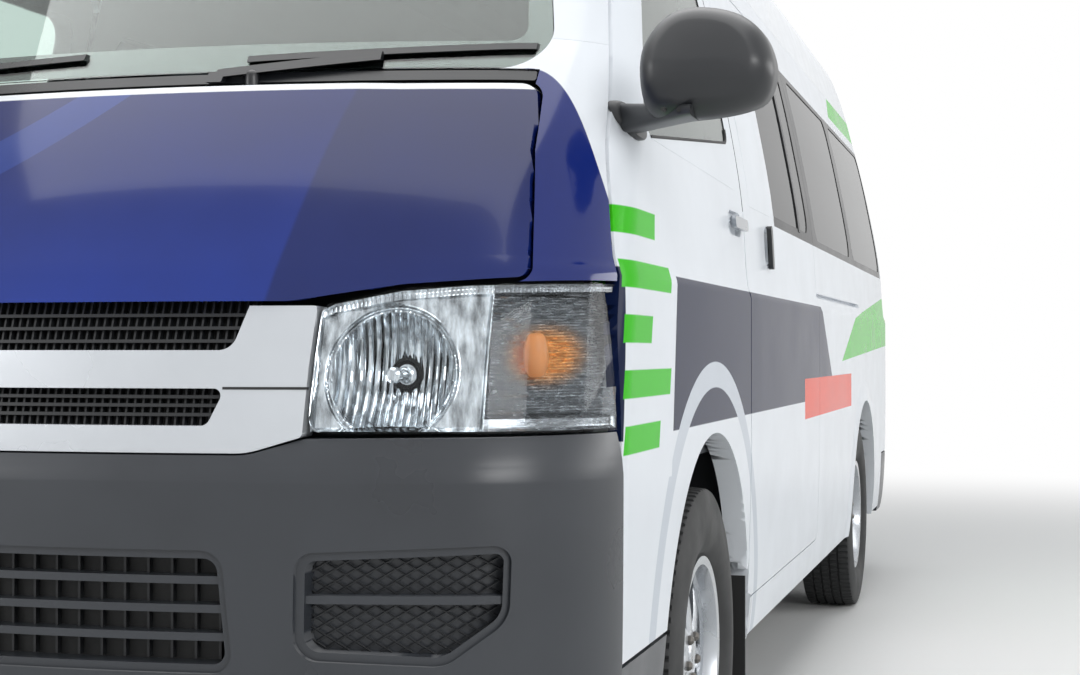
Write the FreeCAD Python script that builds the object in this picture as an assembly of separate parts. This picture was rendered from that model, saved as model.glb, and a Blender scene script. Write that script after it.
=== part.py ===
"""High-roof passenger minibus, built from its real panels, glass, running gear and cabin.

Millimetres. The nose points to -Y, the side with the sliding door is +X and +Z is up. The origin
is on the ground, under the middle of the vehicle.
"""
import FreeCAD, Part
import math
import os
from collections import namedtuple
from functools import lru_cache

V = FreeCAD.Vector

# Overall size
LENGTH = 5380.0
WIDTH = 1880.0
HEIGHT = 2285.0
FRONT_Y = -LENGTH / 2
REAR_Y = LENGTH / 2
HALF_WIDTH = WIDTH / 2

# Wheels and axles
FRONT_OVERHANG = 1150.0
WHEELBASE = 3110.0
FRONT_AXLE_Y = FRONT_Y + FRONT_OVERHANG
REAR_AXLE_Y = FRONT_AXLE_Y + WHEELBASE
FRONT_TRACK = 1655.0
REAR_TRACK = 1650.0
TYRE_R = 345.0
TYRE_WIDTH = 195.0
TYRE_BULGE_R = 268.0
SHOULDER = 16.0
BEAD_HEIGHT = 15.0
RIM_R = 190.0
RIM_FLANGE_R = 203.0
RIM_WIDTH = 160.0
RIM_WALL = 14.0
FLANGE_THICK = 7.5
HUB_R = 72.0
HUB_LENGTH = 82.0
HUB_BACK = 20.0
BRAKE_DISC_R = 138.0
BRAKE_DISC_THICK = 24.0
SPOKES = 12
SPOKE_ROOT_WIDTH = 30.0
SPOKE_TIP_WIDTH = 20.0
SPOKE_BACK = 18.0
SPOKE_ROOT_FACE = 60.0
SPOKE_TIP_FACE = 40.0
WHEEL_GAP = 0.3

# Walls, gaps and glass
WALL = 52.0
SKIN = 22.0
ROOF_WALL = 42.0
DOOR_GAP = 7.0
PANEL_GAP = 3.0
DOOR_INSET = 16.0
SEAT_GAP = 0.3
CLEAR = 6.0
GLASS_OUT = 2.0
GLASS_IN = 7.0
PROUD = 5.0

# Heights of the main lines
BODY_BOTTOM = 307.0
BUMPER_BOTTOM = 225.0
DOOR_BOTTOM = 470.0
SLIDING_DOOR_BOTTOM = 400.0
GRILLE_BOTTOM = 815.0
LAMP_BOTTOM = 845.0
HOOD_BOTTOM = 1045.0
CREASE_Z = 1100.0
SILL_REAR = 1310.0
SILL_FRONT = 1350.0
HOOD_TOP = 1405.0
SCREEN_BOTTOM = 1438.0
CORNER_TOP = 1500.0
WINDOW_TOP = 1810.0
DOOR_TOP = 1885.0
SCREEN_TOP = 1915.0
ROOF_SEAM = 1960.0
ROOF_TOP_HALF = 375.0
SHOULDER_ENDS_Y = (-1290.0, -130.0, 1045.0, 2215.0)
HEADER_HALF = 500.0
PILLAR_REAR_Y = -1700.0

# Lengthwise places of the side's seams and arches
DOOR_FRONT_Y = FRONT_Y + 345.0
DOOR_REAR_Y = FRONT_Y + 1590.0
SLIDING_FRONT_Y = DOOR_REAR_Y + DOOR_GAP
SLIDING_REAR_Y = SLIDING_FRONT_Y + 1275.0
REAR_BUMPER_FRONT_Y = REAR_Y - 330.0
TAIL_LAMP_FRONT_Y = REAR_Y - 165.0
ARCH_R = 452.0
ARCH_Y = FRONT_AXLE_Y - 10.0
ARCH_Z = TYRE_R + 5.0
REAR_ARCH_R = 430.0

# The body's horizontal sections, from the sill up. Each is a bow across the nose, a round
# corner, a straight side, a rear corner and a straight tail.
Station = namedtuple("Station", "z side_inset nose_setback bow_r corner_r tail_setback tail_r")
BODY_STATIONS = (
    Station(222.0, 45.0, 53.0, 2600.0, 280.0, 25.0, 150.0),
    Station(330.0, 18.0, 20.0, 2600.0, 280.0, 5.0, 150.0),
    Station(490.0, 6.0, 8.0, 2600.0, 280.0, 0.0, 150.0),
    Station(800.0, 0.0, 16.0, 2600.0, 280.0, 27.0, 140.0),
    Station(940.0, 0.0, 40.0, 2600.0, 280.0, 35.0, 134.0),
    Station(1090.0, 0.0, 88.0, 2600.0, 280.0, 45.0, 130.0),
    Station(1118.0, 8.0, 102.0, 2600.0, 280.0, 48.0, 130.0),
    Station(1290.0, 20.0, 196.0, 2520.0, 272.0, 58.0, 130.0),
    Station(1600.0, 72.0, 446.0, 2387.0, 258.0, 87.0, 130.0),
    Station(1925.0, 148.0, 744.0, 2190.0, 250.0, 135.0, 130.0),
    Station(2060.0, 184.0, 860.0, 2000.0, 260.0, 170.0, 150.0),
    Station(2140.0, 214.0, 935.0, 1880.0, 270.0, 200.0, 165.0),
    Station(2200.0, 254.0, 1010.0, 1750.0, 280.0, 238.0, 180.0),
    Station(2242.0, 310.0, 1090.0, 1650.0, 290.0, 285.0, 185.0),
    Station(2270.0, 395.0, 1190.0, 1550.0, 300.0, 345.0, 180.0),
    Station(HEIGHT, 520.0, 1360.0, 1400.0, 300.0, 430.0, 160.0),
)
BUMPER_STATIONS = (
    Station(222.0, 42.0, 42.0, 2600.0, 280.0, 400.0, 150.0),
    Station(330.0, 12.0, 8.0, 2600.0, 280.0, 400.0, 150.0),
    Station(490.0, -3.0, 0.0, 2600.0, 280.0, 400.0, 150.0),
    Station(770.0, -5.0, 0.0, 2600.0, 280.0, 400.0, 150.0),
    Station(800.0, -4.0, 9.0, 2600.0, 280.0, 400.0, 150.0),
    Station(855.0, 3.0, 36.0, 2600.0, 280.0, 400.0, 150.0),
)
ROOF_FROM_Z = 2000.0
MIN_REAR_R = 15.0

# Far planes that every cutter passes
AHEAD = FRONT_Y - 100.0
BEHIND = REAR_Y + 100.0
BESIDE = HALF_WIDTH + 60.0
NOSE_BACK_Y = FRONT_Y + 900.0
TAIL_FROM_Y = 2000.0
SIDE_FROM_X = 300.0

LEFT = 1
RIGHT = -1
SIDES = {"left": LEFT, "right": RIGHT}


# Basic shapes

def box(x0, x1, y0, y1, z0, z1):
    """A box between two corners, given in any order."""
    low = V(min(x0, x1), min(y0, y1), min(z0, z1))
    return Part.makeBox(abs(x1 - x0), abs(y1 - y0), abs(z1 - z0), low)


def rod(start, end, radius):
    """A round bar between two points."""
    along = end - start
    return Part.makeCylinder(radius, along.Length, start, along)


def fuse(shapes):
    """One shape from several that touch or overlap."""
    shapes = list(shapes)
    return shapes[0].fuse(shapes[1:]).removeSplitter()


def compound(shapes):
    """Solids that stay apart, kept together."""
    return Part.makeCompound(list(shapes))


def mirrored(shape):
    """The same shape on the other side of the vehicle."""
    return shape.mirror(V(0, 0, 0), V(1, 0, 0))


def both_sides(shape):
    """A shape and its mirror image."""
    return compound([shape, mirrored(shape)])


PLANES = {
    "side": lambda a, b: V(0, a, b),
    "front": lambda a, b: V(a, 0, b),
    "plan": lambda a, b: V(a, b, 0),
}


def outline(plane, points):
    """A closed wire through (a, b, corner radius) points, each corner a tangent arc."""
    starts, mids, ends = [], [], []
    count = len(points)
    for i, (a, b, radius) in enumerate(points):
        corner = V(a, b, 0)
        before = V(*points[i - 1][:2], 0) - corner
        after = V(*points[(i + 1) % count][:2], 0) - corner
        before.normalize()
        after.normalize()
        half = before.getAngle(after) / 2
        reach = radius / math.tan(half)
        toward = before + after
        toward.normalize()
        starts.append(corner + before * reach)
        ends.append(corner + after * reach)
        mids.append(corner + toward * (radius / math.sin(half) - radius))
    put = PLANES[plane]
    edges = []
    for i in range(count):
        start, mid, end = (put(p.x, p.y) for p in (starts[i], mids[i], ends[i]))
        if points[i][2] > 0:
            edges.append(Part.Arc(start, mid, end).toShape())
        following = put(starts[(i + 1) % count].x, starts[(i + 1) % count].y)
        if (following - end).Length > 0.001:
            edges.append(Part.makeLine(end, following))
    return Part.Wire(edges)


def mirrored_points(half):
    """A closed outline from its +X half, listed from the bottom up."""
    return half + [(-x, z, r) for x, z, r in reversed(half)]


def rectangle(plane, a0, a1, b0, b1, radius):
    """A rectangle with round corners."""
    return outline(plane, [(a0, b0, radius), (a1, b0, radius), (a1, b1, radius), (a0, b1, radius)])


def grown(wire, distance):
    """The same outline, moved outwards by a distance, or inwards by a negative one."""
    return wire.makeOffset2D(distance, 2)


def along_x(wire, x0, x1):
    """A side-plane outline carried from x0 to x1."""
    face = Part.Face(wire)
    face.translate(V(x0, 0, 0))
    return face.extrude(V(x1 - x0, 0, 0))


def along_y(wire, y0, y1):
    """A front-plane outline carried from y0 to y1."""
    face = Part.Face(wire)
    face.translate(V(0, y0, 0))
    return face.extrude(V(0, y1 - y0, 0))


def revolved_x(profile, centre):
    """A closed profile of (x, radius) points turned about the X axis through a centre."""
    corners = [V(x, radius, 0) for x, radius in profile]
    solid = Part.Face(Part.makePolygon(corners + corners[:1])).revolve(V(0, 0, 0), V(1, 0, 0), 360)
    solid.translate(centre)
    return solid


# The body's surface

def section(station, offset):
    """One horizontal section, moved inwards by an offset."""
    half = HALF_WIDTH - station.side_inset - offset
    nose = FRONT_Y + station.nose_setback + offset
    tail = REAR_Y - station.tail_setback - offset
    bow = station.bow_r - offset
    corner = station.corner_r - offset
    rear = max(station.tail_r - offset, MIN_REAR_R)
    drop = min(offset, ROOF_WALL) if station.z > ROOF_FROM_Z else 0.0
    z = station.z - drop
    cx = half - corner
    cy = nose + bow - math.sqrt((bow - corner) ** 2 - cx ** 2)
    ratio = bow / (bow - corner)
    tx = cx * ratio
    ty = nose + bow + (cy - nose - bow) * ratio
    mid_angle = math.atan2(cy - nose - bow, cx) / 2
    mx = cx + corner * math.cos(mid_angle)
    my = cy + corner * math.sin(mid_angle)
    rear_x = half - rear
    rear_y = tail - rear
    diagonal = rear * math.sqrt(0.5)
    edges = [
        Part.Arc(V(-tx, ty, z), V(0, nose, z), V(tx, ty, z)).toShape(),
        Part.Arc(V(tx, ty, z), V(mx, my, z), V(half, cy, z)).toShape(),
        Part.makeLine(V(half, cy, z), V(half, rear_y, z)),
        Part.Arc(V(half, rear_y, z), V(rear_x + diagonal, rear_y + diagonal, z),
                 V(rear_x, tail, z)).toShape(),
        Part.makeLine(V(rear_x, tail, z), V(-rear_x, tail, z)),
        Part.Arc(V(-rear_x, tail, z), V(-rear_x - diagonal, rear_y + diagonal, z),
                 V(-half, rear_y, z)).toShape(),
        Part.makeLine(V(-half, rear_y, z), V(-half, cy, z)),
        Part.Arc(V(-half, cy, z), V(-mx, my, z), V(-tx, ty, z)).toShape(),
    ]
    return Part.Wire(edges)


@lru_cache(maxsize=None)
def hull(offset, stations=BODY_STATIONS):
    """The body as one solid, its surface moved inwards by an offset."""
    return Part.makeLoft([section(s, offset) for s in stations], True, True)


@lru_cache(maxsize=None)
def band(outer, inner, stations=BODY_STATIONS):
    """The layer between two offsets of the body's surface, open at the bottom."""
    return hull(outer, stations).cut(hull(inner, stations))


# Outlines of the panels, as (a, b, corner radius)

DOOR = outline("side", [
    (DOOR_FRONT_Y, DOOR_BOTTOM, 15.0),
    (DOOR_REAR_Y, DOOR_BOTTOM, 15.0),
    (DOOR_REAR_Y, DOOR_TOP, 60.0),
    (DOOR_FRONT_Y + 546.0, DOOR_TOP, 80.0),
    (DOOR_FRONT_Y + 95.0, 1290.0, 220.0),
    (DOOR_FRONT_Y + 5.0, 1000.0, 300.0),
])
DOOR_WINDOW = outline("side", [
    (DOOR_FRONT_Y + 255.0, SILL_FRONT, 35.0),
    (DOOR_REAR_Y - 85.0, SILL_FRONT - 15.0, 45.0),
    (DOOR_REAR_Y - 85.0, WINDOW_TOP, 60.0),
    (DOOR_FRONT_Y + 600.0, WINDOW_TOP, 60.0),
])
SLIDING_DOOR = outline("side", [
    (SLIDING_FRONT_Y, SLIDING_DOOR_BOTTOM, 25.0),
    (SLIDING_REAR_Y, SLIDING_DOOR_BOTTOM, 40.0),
    (SLIDING_REAR_Y, DOOR_TOP, 60.0),
    (SLIDING_FRONT_Y, DOOR_TOP, 60.0),
])

# Side windows behind the cab, from front to back
SideWindow = namedtuple("SideWindow", "front_y rear_y sill")
WINDOWS = (
    SideWindow(SLIDING_FRONT_Y + 110.0, SLIDING_REAR_Y - 90.0, SILL_REAR + 8.0),
    SideWindow(SLIDING_REAR_Y + 90.0, SLIDING_REAR_Y + 1080.0, SILL_REAR),
    SideWindow(SLIDING_REAR_Y + 1190.0, REAR_Y - 245.0, SILL_REAR),
)
WINDOW_CORNER_R = 55.0

HOOD = outline("front", mirrored_points([
    (470.0, HOOD_BOTTOM, 60.0),
    (640.0, HOOD_BOTTOM + 26.0, 200.0),
    (817.0, HOOD_BOTTOM + 38.0, 14.0),
    (775.0, HOOD_TOP + 5.0, 30.0),
]))
HOOD_MIDDLE = outline("front", mirrored_points([
    (428.0, HOOD_BOTTOM - 40.0, 0.0),
    (506.0, HOOD_TOP + 55.0, 0.0),
]))
HOOD_RISE = 4.0
SCREEN = outline("front", mirrored_points([
    (792.0, SCREEN_BOTTOM, 70.0),
    (688.0, SCREEN_TOP, 60.0),
]))
COWL = outline("front", mirrored_points([
    (768.0, HOOD_TOP + 12.0, 4.0),
    (766.0, SCREEN_BOTTOM - 3.0, 4.0),
]))
COWL_DEPTH = 190.0
GRILLE = outline("front", mirrored_points([
    (430.0, GRILLE_BOTTOM, 120.0),
    (512.0, LAMP_BOTTOM - 5.0, 8.0),
    (516.0, HOOD_BOTTOM - DOOR_GAP, 8.0),
]))
UPPER_SLOT = outline("front", mirrored_points([
    (393.0, 970.0, 26.0),
    (419.0, HOOD_BOTTOM + 20.0, 8.0),
]))
LOWER_SLOT = outline("front", mirrored_points([
    (366.0, 856.0, 14.0),
    (390.0, 912.0, 12.0),
]))
GRILLE_DEPTH = 40.0
GRILLE_SLAT_DEPTH = 16.0
GRILLE_SLAT_THICK = 5.0
GRILLE_SLATS = (984.0, 1004.0, 1024.0, 872.0, 886.0, 899.0)

LAMP = outline("front", [
    (520.0, LAMP_BOTTOM, 25.0),
    (BESIDE, LAMP_BOTTOM, 5.0),
    (BESIDE, HOOD_BOTTOM + 36.0, 5.0),
    (640.0, HOOD_BOTTOM + 20.0, 220.0),
    (524.0, HOOD_BOTTOM - 6.0, 20.0),
])
LAMP_REAR_Y = DOOR_FRONT_Y - 12.0
LAMP_SPLIT_X = 776.0
LAMP_RIM = 12.0
LENS_THICK = 4.0
LAMP_DEPTH = 130.0
SHELF_DEPTH = 25.0
POCKET_DEPTH = 60.0
BOWL_CENTRE = V(640.0, FRONT_Y + 130.0, 930.0)
BOWL_R = 92.0
BOWL_BULGE = 1.15
BULB_R = 9.0
BULB_CAP_R = 15.0
BULB_CAP_BACK = 32.0
BULB_CAP_FRONT = 12.0

BUMPER = outline("front", mirrored_points([
    (BESIDE, BUMPER_BOTTOM - 20.0, 5.0),
    (BESIDE, LAMP_BOTTOM - PANEL_GAP, 5.0),
    (515.0, LAMP_BOTTOM - 8.0, 30.0),
    (430.0, GRILLE_BOTTOM - PANEL_GAP, 120.0),
]))
INTAKE = outline("front", mirrored_points([
    (404.0, 500.0, 18.0),
    (388.0, 658.0, 22.0),
]))
FOG_RECESS = outline("front", [
    (520.0, 522.0, 25.0),
    (722.0, 514.0, 40.0),
    (803.0, 575.0, 40.0),
    (806.0, 668.0, 12.0),
    (522.0, 656.0, 16.0),
])
FRAME_STEP = 9.0
FRAME_WIDTH = 13.0
INTAKE_SLATS = (540.0, 582.0, 625.0)
FOG_SLAT_Z = 598.0
SLAT_THICK = 12.0
SLAT_DEPTH = 14.0
MESH_THICK = 8.0

TAILGATE_TOP = ROOF_SEAM - CLEAR
TAILGATE_BOTTOM = 545.0
TAILGATE = outline("front", mirrored_points([
    (768.0, TAILGATE_BOTTOM, 45.0),
    (772.0, CREASE_Z + 40.0, 200.0),
    (655.0, TAILGATE_TOP, 60.0),
]))
TAIL_WINDOW = outline("front", mirrored_points([
    (660.0, SILL_REAR + 20.0, 60.0),
    (580.0, WINDOW_TOP + 5.0, 70.0),
]))
PLATE_RECESS = rectangle("front", -290.0, 290.0, 862.0, 1000.0, 18.0)
TAILGATE_GRIP = rectangle("front", -330.0, 330.0, 1012.0, 1060.0, 14.0)
TAIL_LAMP = outline("front", [
    (784.0, 880.0, 12.0),
    (BESIDE, 880.0, 12.0),
    (BESIDE, 1272.0, 12.0),
    (778.0, 1272.0, 30.0),
])

# Door handles: a pocket in the skin and a grip across it, in the side plane
Handle = namedtuple("Handle", "pocket grip posts")
FRONT_HANDLE = Handle(
    rectangle("side", -1292.0, -1142.0, 1226.0, 1280.0, 20.0),
    rectangle("side", -1300.0, -1134.0, 1240.0, 1266.0, 12.0),
    (rectangle("side", -1297.0, -1277.0, 1244.0, 1262.0, 6.0),
     rectangle("side", -1157.0, -1137.0, 1244.0, 1262.0, 6.0)),
)
SLIDING_HANDLE = Handle(
    rectangle("side", -797.0, -739.0, 1182.0, 1274.0, 20.0),
    rectangle("side", -781.0, -755.0, 1172.0, 1280.0, 12.0),
    (rectangle("side", -777.0, -759.0, 1174.0, 1192.0, 6.0),
     rectangle("side", -777.0, -759.0, 1262.0, 1279.0, 6.0)),
)
POCKET_IN = 12.0
GRIP_OUT = 17.0
GRIP_IN = 5.0
RAIL_GROOVE_Z = (1130.0, 1144.0)
RAIL_GROOVE_DEPTH = 18.0
RAIL_GROOVE_END_Y = SLIDING_REAR_Y + 1275.0


def arch(centre_y, radius):
    """A wheel arch's cutter, through the whole width."""
    return Part.makeCylinder(radius, 2 * BESIDE, V(-BESIDE, centre_y, ARCH_Z), V(1, 0, 0))


def side_window(window):
    """A side window's outline."""
    return rectangle("side", window.front_y, window.rear_y, window.sill, WINDOW_TOP, WINDOW_CORNER_R)


def side_slab(wire, side):
    """A side-plane outline as a cutter for one side of the body."""
    return along_x(wire, SIDE_FROM_X * side, BESIDE * side)


def left_slab(wire):
    """A side-plane outline as a cutter for the left side."""
    return side_slab(wire, LEFT)


def front_slab(wire):
    """A front-plane outline as a cutter for the nose."""
    return along_y(wire, AHEAD, NOSE_BACK_Y)


def rear_slab(wire):
    """A front-plane outline as a cutter for the tail."""
    return along_y(wire, TAIL_FROM_Y, BEHIND)


def slab_z(z, thick):
    """A thin horizontal slab across the nose."""
    return box(-BESIDE, BESIDE, AHEAD, NOSE_BACK_Y, z - thick / 2, z + thick / 2)


SHELL = band(0.0, WALL)


# Doors and lids

def leaf(wire, slab, holes):
    """A door leaf: a skin to its outline and an inner frame set back from its edge."""
    skin = band(0.0, SKIN).common(slab(wire)).cut(holes)
    frame = band(SKIN, WALL).common(slab(grown(wire, -DOOR_INSET))).cut(holes)
    return fuse([skin, frame])


def with_handle(door, handle):
    """A door with a handle's pocket and its grip, on the left side."""
    pocket = band(-PROUD, POCKET_IN).common(left_slab(handle.pocket))
    grip = band(-GRIP_OUT, -GRIP_IN).common(left_slab(handle.grip))
    posts = [band(-GRIP_OUT, POCKET_IN + 2.0).common(left_slab(post)) for post in handle.posts]
    return fuse([door.cut(pocket), grip] + posts)


def front_door():
    """The left front door without its glass."""
    holes = [left_slab(DOOR_WINDOW), arch(ARCH_Y, ARCH_R)]
    return with_handle(leaf(DOOR, left_slab, holes), FRONT_HANDLE)


def sliding_door():
    """The sliding door with its window hole."""
    door = SHELL.common(left_slab(SLIDING_DOOR)).cut(left_slab(side_window(WINDOWS[0])))
    return with_handle(door, SLIDING_HANDLE)


def tailgate():
    """The top-hinged rear door, with its plate recess and the grip bar over it."""
    door = leaf(TAILGATE, rear_slab, [rear_slab(TAIL_WINDOW)])
    door = door.cut(band(-PROUD, POCKET_IN).common(rear_slab(PLATE_RECESS)))
    return fuse([door, band(-GRIP_OUT, POCKET_IN).common(rear_slab(TAILGATE_GRIP))])


def hood():
    """The short hood over the nose, its middle raised between two creases."""
    skin = band(0.0, SKIN).common(front_slab(HOOD))
    middle = band(-HOOD_RISE, SKIN).common(front_slab(HOOD)).common(front_slab(HOOD_MIDDLE))
    return fuse([skin, middle])


# Fixed panels

def side_panel(side):
    """One side behind the cab, from the sill to the roof seam, with the rear corner."""
    panel = SHELL.common(box(0, side * BESIDE, SLIDING_FRONT_Y, BEHIND, BODY_BOTTOM, ROOF_SEAM))
    lamp = along_y(grown(TAIL_LAMP, SEAT_GAP), TAIL_LAMP_FRONT_Y - SEAT_GAP, BEHIND)
    cutters = [
        arch(REAR_AXLE_Y, REAR_ARCH_R),
        rear_slab(grown(TAILGATE, DOOR_GAP)),
        box(-BESIDE, BESIDE, REAR_BUMPER_FRONT_Y - PANEL_GAP, BEHIND, 0, TAILGATE_BOTTOM - DOOR_GAP),
        lamp,
        mirrored(lamp),
    ]
    windows = WINDOWS
    if side == LEFT:
        windows = WINDOWS[1:]
        groove = box(0, BESIDE, SLIDING_REAR_Y - PANEL_GAP, RAIL_GROOVE_END_Y, *RAIL_GROOVE_Z)
        cutters.append(left_slab(grown(SLIDING_DOOR, PANEL_GAP)))
        cutters.append(band(-PROUD, RAIL_GROOVE_DEPTH).common(groove))
    cutters.extend(side_slab(side_window(window), side) for window in windows)
    return panel.cut(cutters)


def ahead_of_doors(rear_y, z0, z1):
    """The region of the nose and cab ahead of the front doors' shut lines."""
    zone = box(-BESIDE, BESIDE, AHEAD, rear_y, z0, z1)
    shut_line = grown(DOOR, DOOR_GAP)
    return zone.cut([side_slab(shut_line, LEFT), side_slab(shut_line, RIGHT)])


def corner_panels():
    """The panels between the hood and the doors, below the pillars."""
    lamp = front_slab(grown(LAMP, PANEL_GAP))
    shell = SHELL.common(ahead_of_doors(DOOR_FRONT_Y + 420.0, LAMP_BOTTOM, CORNER_TOP))
    middle = box(-770.0, 770.0, AHEAD, NOSE_BACK_Y, LAMP_BOTTOM, SCREEN_BOTTOM + 0.1)
    return shell.cut([front_slab(grown(HOOD, DOOR_GAP)), front_slab(SCREEN), lamp, mirrored(lamp), middle])


def cab_frame():
    """The header over the glass, the windscreen pillars and the rails over the doors."""
    shell = SHELL.common(ahead_of_doors(DOOR_REAR_Y, CORNER_TOP + SEAT_GAP, ROOF_SEAM))
    shell = shell.cut(front_slab(SCREEN))
    zones = [box(-HEADER_HALF, HEADER_HALF, AHEAD, BEHIND, 0, HEIGHT)]
    for side in SIDES.values():
        inner, outer = side * (HEADER_HALF + SEAT_GAP), side * BESIDE
        zones.append(box(inner, outer, AHEAD, PILLAR_REAR_Y - SEAT_GAP, 0, HEIGHT))
        zones.append(box(inner, outer, PILLAR_REAR_Y, BEHIND, 0, HEIGHT))
    return compound([shell.common(zone) for zone in zones])


def roof():
    """The high roof above the seam: top, rounded shoulders in three lengths, fairing and rear cap."""
    low, high = ROOF_SEAM + SEAT_GAP, HEIGHT + CLEAR
    first, last = SHOULDER_ENDS_Y[0], SHOULDER_ENDS_Y[-1]
    zones = [
        box(-ROOF_TOP_HALF, ROOF_TOP_HALF, first, last - SEAT_GAP, low, high),
        box(-BESIDE, BESIDE, AHEAD, first - SEAT_GAP, low, high),
        box(-BESIDE, BESIDE, last, BEHIND, low, high),
    ]
    for side in SIDES.values():
        for y0, y1 in zip(SHOULDER_ENDS_Y, SHOULDER_ENDS_Y[1:]):
            zones.append(box(side * (ROOF_TOP_HALF + SEAT_GAP), side * BESIDE, y0, y1 - SEAT_GAP, low, high))
    return compound([SHELL.common(zone) for zone in zones])


def pane(cutter):
    """Glass that follows the body just inside its surface."""
    return band(GLASS_OUT, GLASS_IN).common(cutter)


def windscreen():
    """The curved windscreen."""
    return pane(front_slab(grown(SCREEN, -SEAT_GAP)))


def door_glass():
    """The left front door's window."""
    return pane(left_slab(grown(DOOR_WINDOW, -SEAT_GAP)))


def side_glass():
    """The fixed windows behind the cab, both sides."""
    return compound([pane(side_slab(grown(side_window(window), -SEAT_GAP), side))
                     for window in WINDOWS for side in SIDES.values()])


def cowl():
    """The black strip below the windscreen, deep enough to carry the wipers."""
    return band(3.0, COWL_DEPTH).common(front_slab(COWL))


# Nose

def front_bumper():
    """The bumper: a sloping ledge, a framed intake with slats and two meshed recesses."""
    zone = box(-BESIDE, BESIDE, AHEAD, DOOR_FRONT_Y - DOOR_GAP, BUMPER_BOTTOM, HEIGHT)
    skin = band(0.0, WALL, BUMPER_STATIONS).common(zone).common(front_slab(BUMPER))
    recess = front_slab(FOG_RECESS)
    openings = [front_slab(INTAKE), recess, mirrored(recess)]
    frame = front_slab(grown(FOG_RECESS, FRAME_WIDTH))
    step = band(-PROUD, FRAME_STEP, BUMPER_STATIONS)
    frames = [step.common(f) for f in (front_slab(grown(INTAKE, FRAME_WIDTH)), frame, mirrored(frame))]
    skin = skin.cut(frames).cut(openings)
    deep = band(SLAT_DEPTH, WALL, BUMPER_STATIONS)
    pieces = [skin] + [deep.common(openings[0]).common(slab_z(z, SLAT_THICK)) for z in INTAKE_SLATS]
    mesh = band(WALL - MESH_THICK, WALL, BUMPER_STATIONS)
    for opening in openings[1:]:
        pieces.append(deep.common(opening).common(slab_z(FOG_SLAT_Z, SLAT_THICK)))
        pieces.append(mesh.common(opening))
    return fuse(pieces)


def grille():
    """The painted grille with its two long slots."""
    shell = band(0.0, GRILLE_DEPTH).common(front_slab(GRILLE))
    return shell.cut([front_slab(UPPER_SLOT), front_slab(LOWER_SLOT)])


def grille_slats():
    """The dark slats inside the slots."""
    layer = band(GRILLE_SLAT_DEPTH, GRILLE_DEPTH)
    slots = [layer.common(front_slab(grown(slot, -SEAT_GAP))) for slot in (UPPER_SLOT, LOWER_SLOT)]
    bars = [slot.common(slab_z(z, GRILLE_SLAT_THICK)) for slot in slots for z in GRILLE_SLATS]
    return compound([bar for cut in bars for bar in cut.Solids])


def lamp_zone():
    """The region that one headlamp may fill."""
    zone = ahead_of_doors(DOOR_FRONT_Y + 30.0, LAMP_BOTTOM - 20.0, HOOD_BOTTOM + 60.0)
    return zone.common(box(0, BESIDE, AHEAD, LAMP_REAR_Y, 0, HEIGHT)).common(front_slab(LAMP))


def headlamp_housing():
    """The lamp's body behind the lens: the reflector's bowl with its bulb, and the side pocket."""
    front = LENS_THICK + SEAT_GAP
    body = band(front, LAMP_DEPTH).common(lamp_zone())
    inside = front_slab(grown(LAMP, -LAMP_RIM)).common(
        box(0, BESIDE, AHEAD, LAMP_REAR_Y - LAMP_RIM, 0, HEIGHT))
    half_rim = LAMP_RIM * 2 / 3
    shelf = band(front, SHELF_DEPTH).common(inside).common(
        box(0, LAMP_SPLIT_X - half_rim, AHEAD, 0, 0, HEIGHT))
    pocket = band(front, POCKET_DEPTH).common(inside).common(
        box(LAMP_SPLIT_X + half_rim, BESIDE, AHEAD, 0, 0, HEIGHT))
    bowl = Part.makeSphere(BOWL_R * BOWL_BULGE, BOWL_CENTRE)
    mouth = Part.makeCylinder(BOWL_R, BOWL_R * BOWL_BULGE, BOWL_CENTRE, V(0, -1, 0))
    bulb_back = BOWL_CENTRE + V(0, BOWL_R * BOWL_BULGE + 5.0, 0)
    cap_back = BOWL_CENTRE + V(0, BULB_CAP_BACK, 0)
    bulb = rod(bulb_back, cap_back, BULB_R)
    cap = rod(cap_back, BOWL_CENTRE + V(0, BULB_CAP_FRONT, 0), BULB_CAP_R)
    return fuse([body.cut([shelf, pocket, bowl, mouth]), bulb, cap])


def headlamp_lens():
    """The clear cover of one headlamp, which follows the body's surface."""
    return band(0.0, LENS_THICK).common(lamp_zone())


Wiper = namedtuple("Wiper", "pivot_x pivot_z joint_x joint_z root_x root_z tip_x tip_z")
WIPERS = (
    Wiper(250.0, 1434.0, 520.0, 1462.0, 290.0, 1462.0, 762.0, 1482.0),
    Wiper(-480.0, 1434.0, -240.0, 1462.0, -470.0, 1462.0, -20.0, 1480.0),
)
BLADE_WIDTH = 12.0
ARM_WIDTH = 16.0
FOOT_Z = SCREEN_BOTTOM - 10.6
FOOT_HALF = 14.0
FOOT_WIDTH = 20.0


def strip(x0, z0, x1, z1, width):
    """A thin straight strip in the front plane, as a cutter."""
    along = V(x1 - x0, 0, z1 - z0)
    along.normalize()
    across = V(-along.z, 0, along.x) * (width / 2)
    start, end = V(x0, 0, z0), V(x1, 0, z1)
    corners = [start - across, end - across, end + across, start + across]
    return front_slab(Part.makePolygon(corners + corners[:1]))


def wipers():
    """Two parked wipers, arm, blade and foot, close over the glass."""
    whole = []
    for w in WIPERS:
        blade = band(-14.0, 1.6).common(strip(w.root_x, w.root_z, w.tip_x, w.tip_z, BLADE_WIDTH))
        arm = band(-22.0, -10.0).common(strip(w.pivot_x, w.pivot_z, w.joint_x, w.joint_z, ARM_WIDTH))
        foot = band(-22.0, 2.7).common(strip(w.pivot_x - FOOT_HALF, FOOT_Z, w.pivot_x + FOOT_HALF, FOOT_Z,
                                             FOOT_WIDTH))
        whole.append(fuse([blade, arm, foot]))
    return compound(whole)


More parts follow.
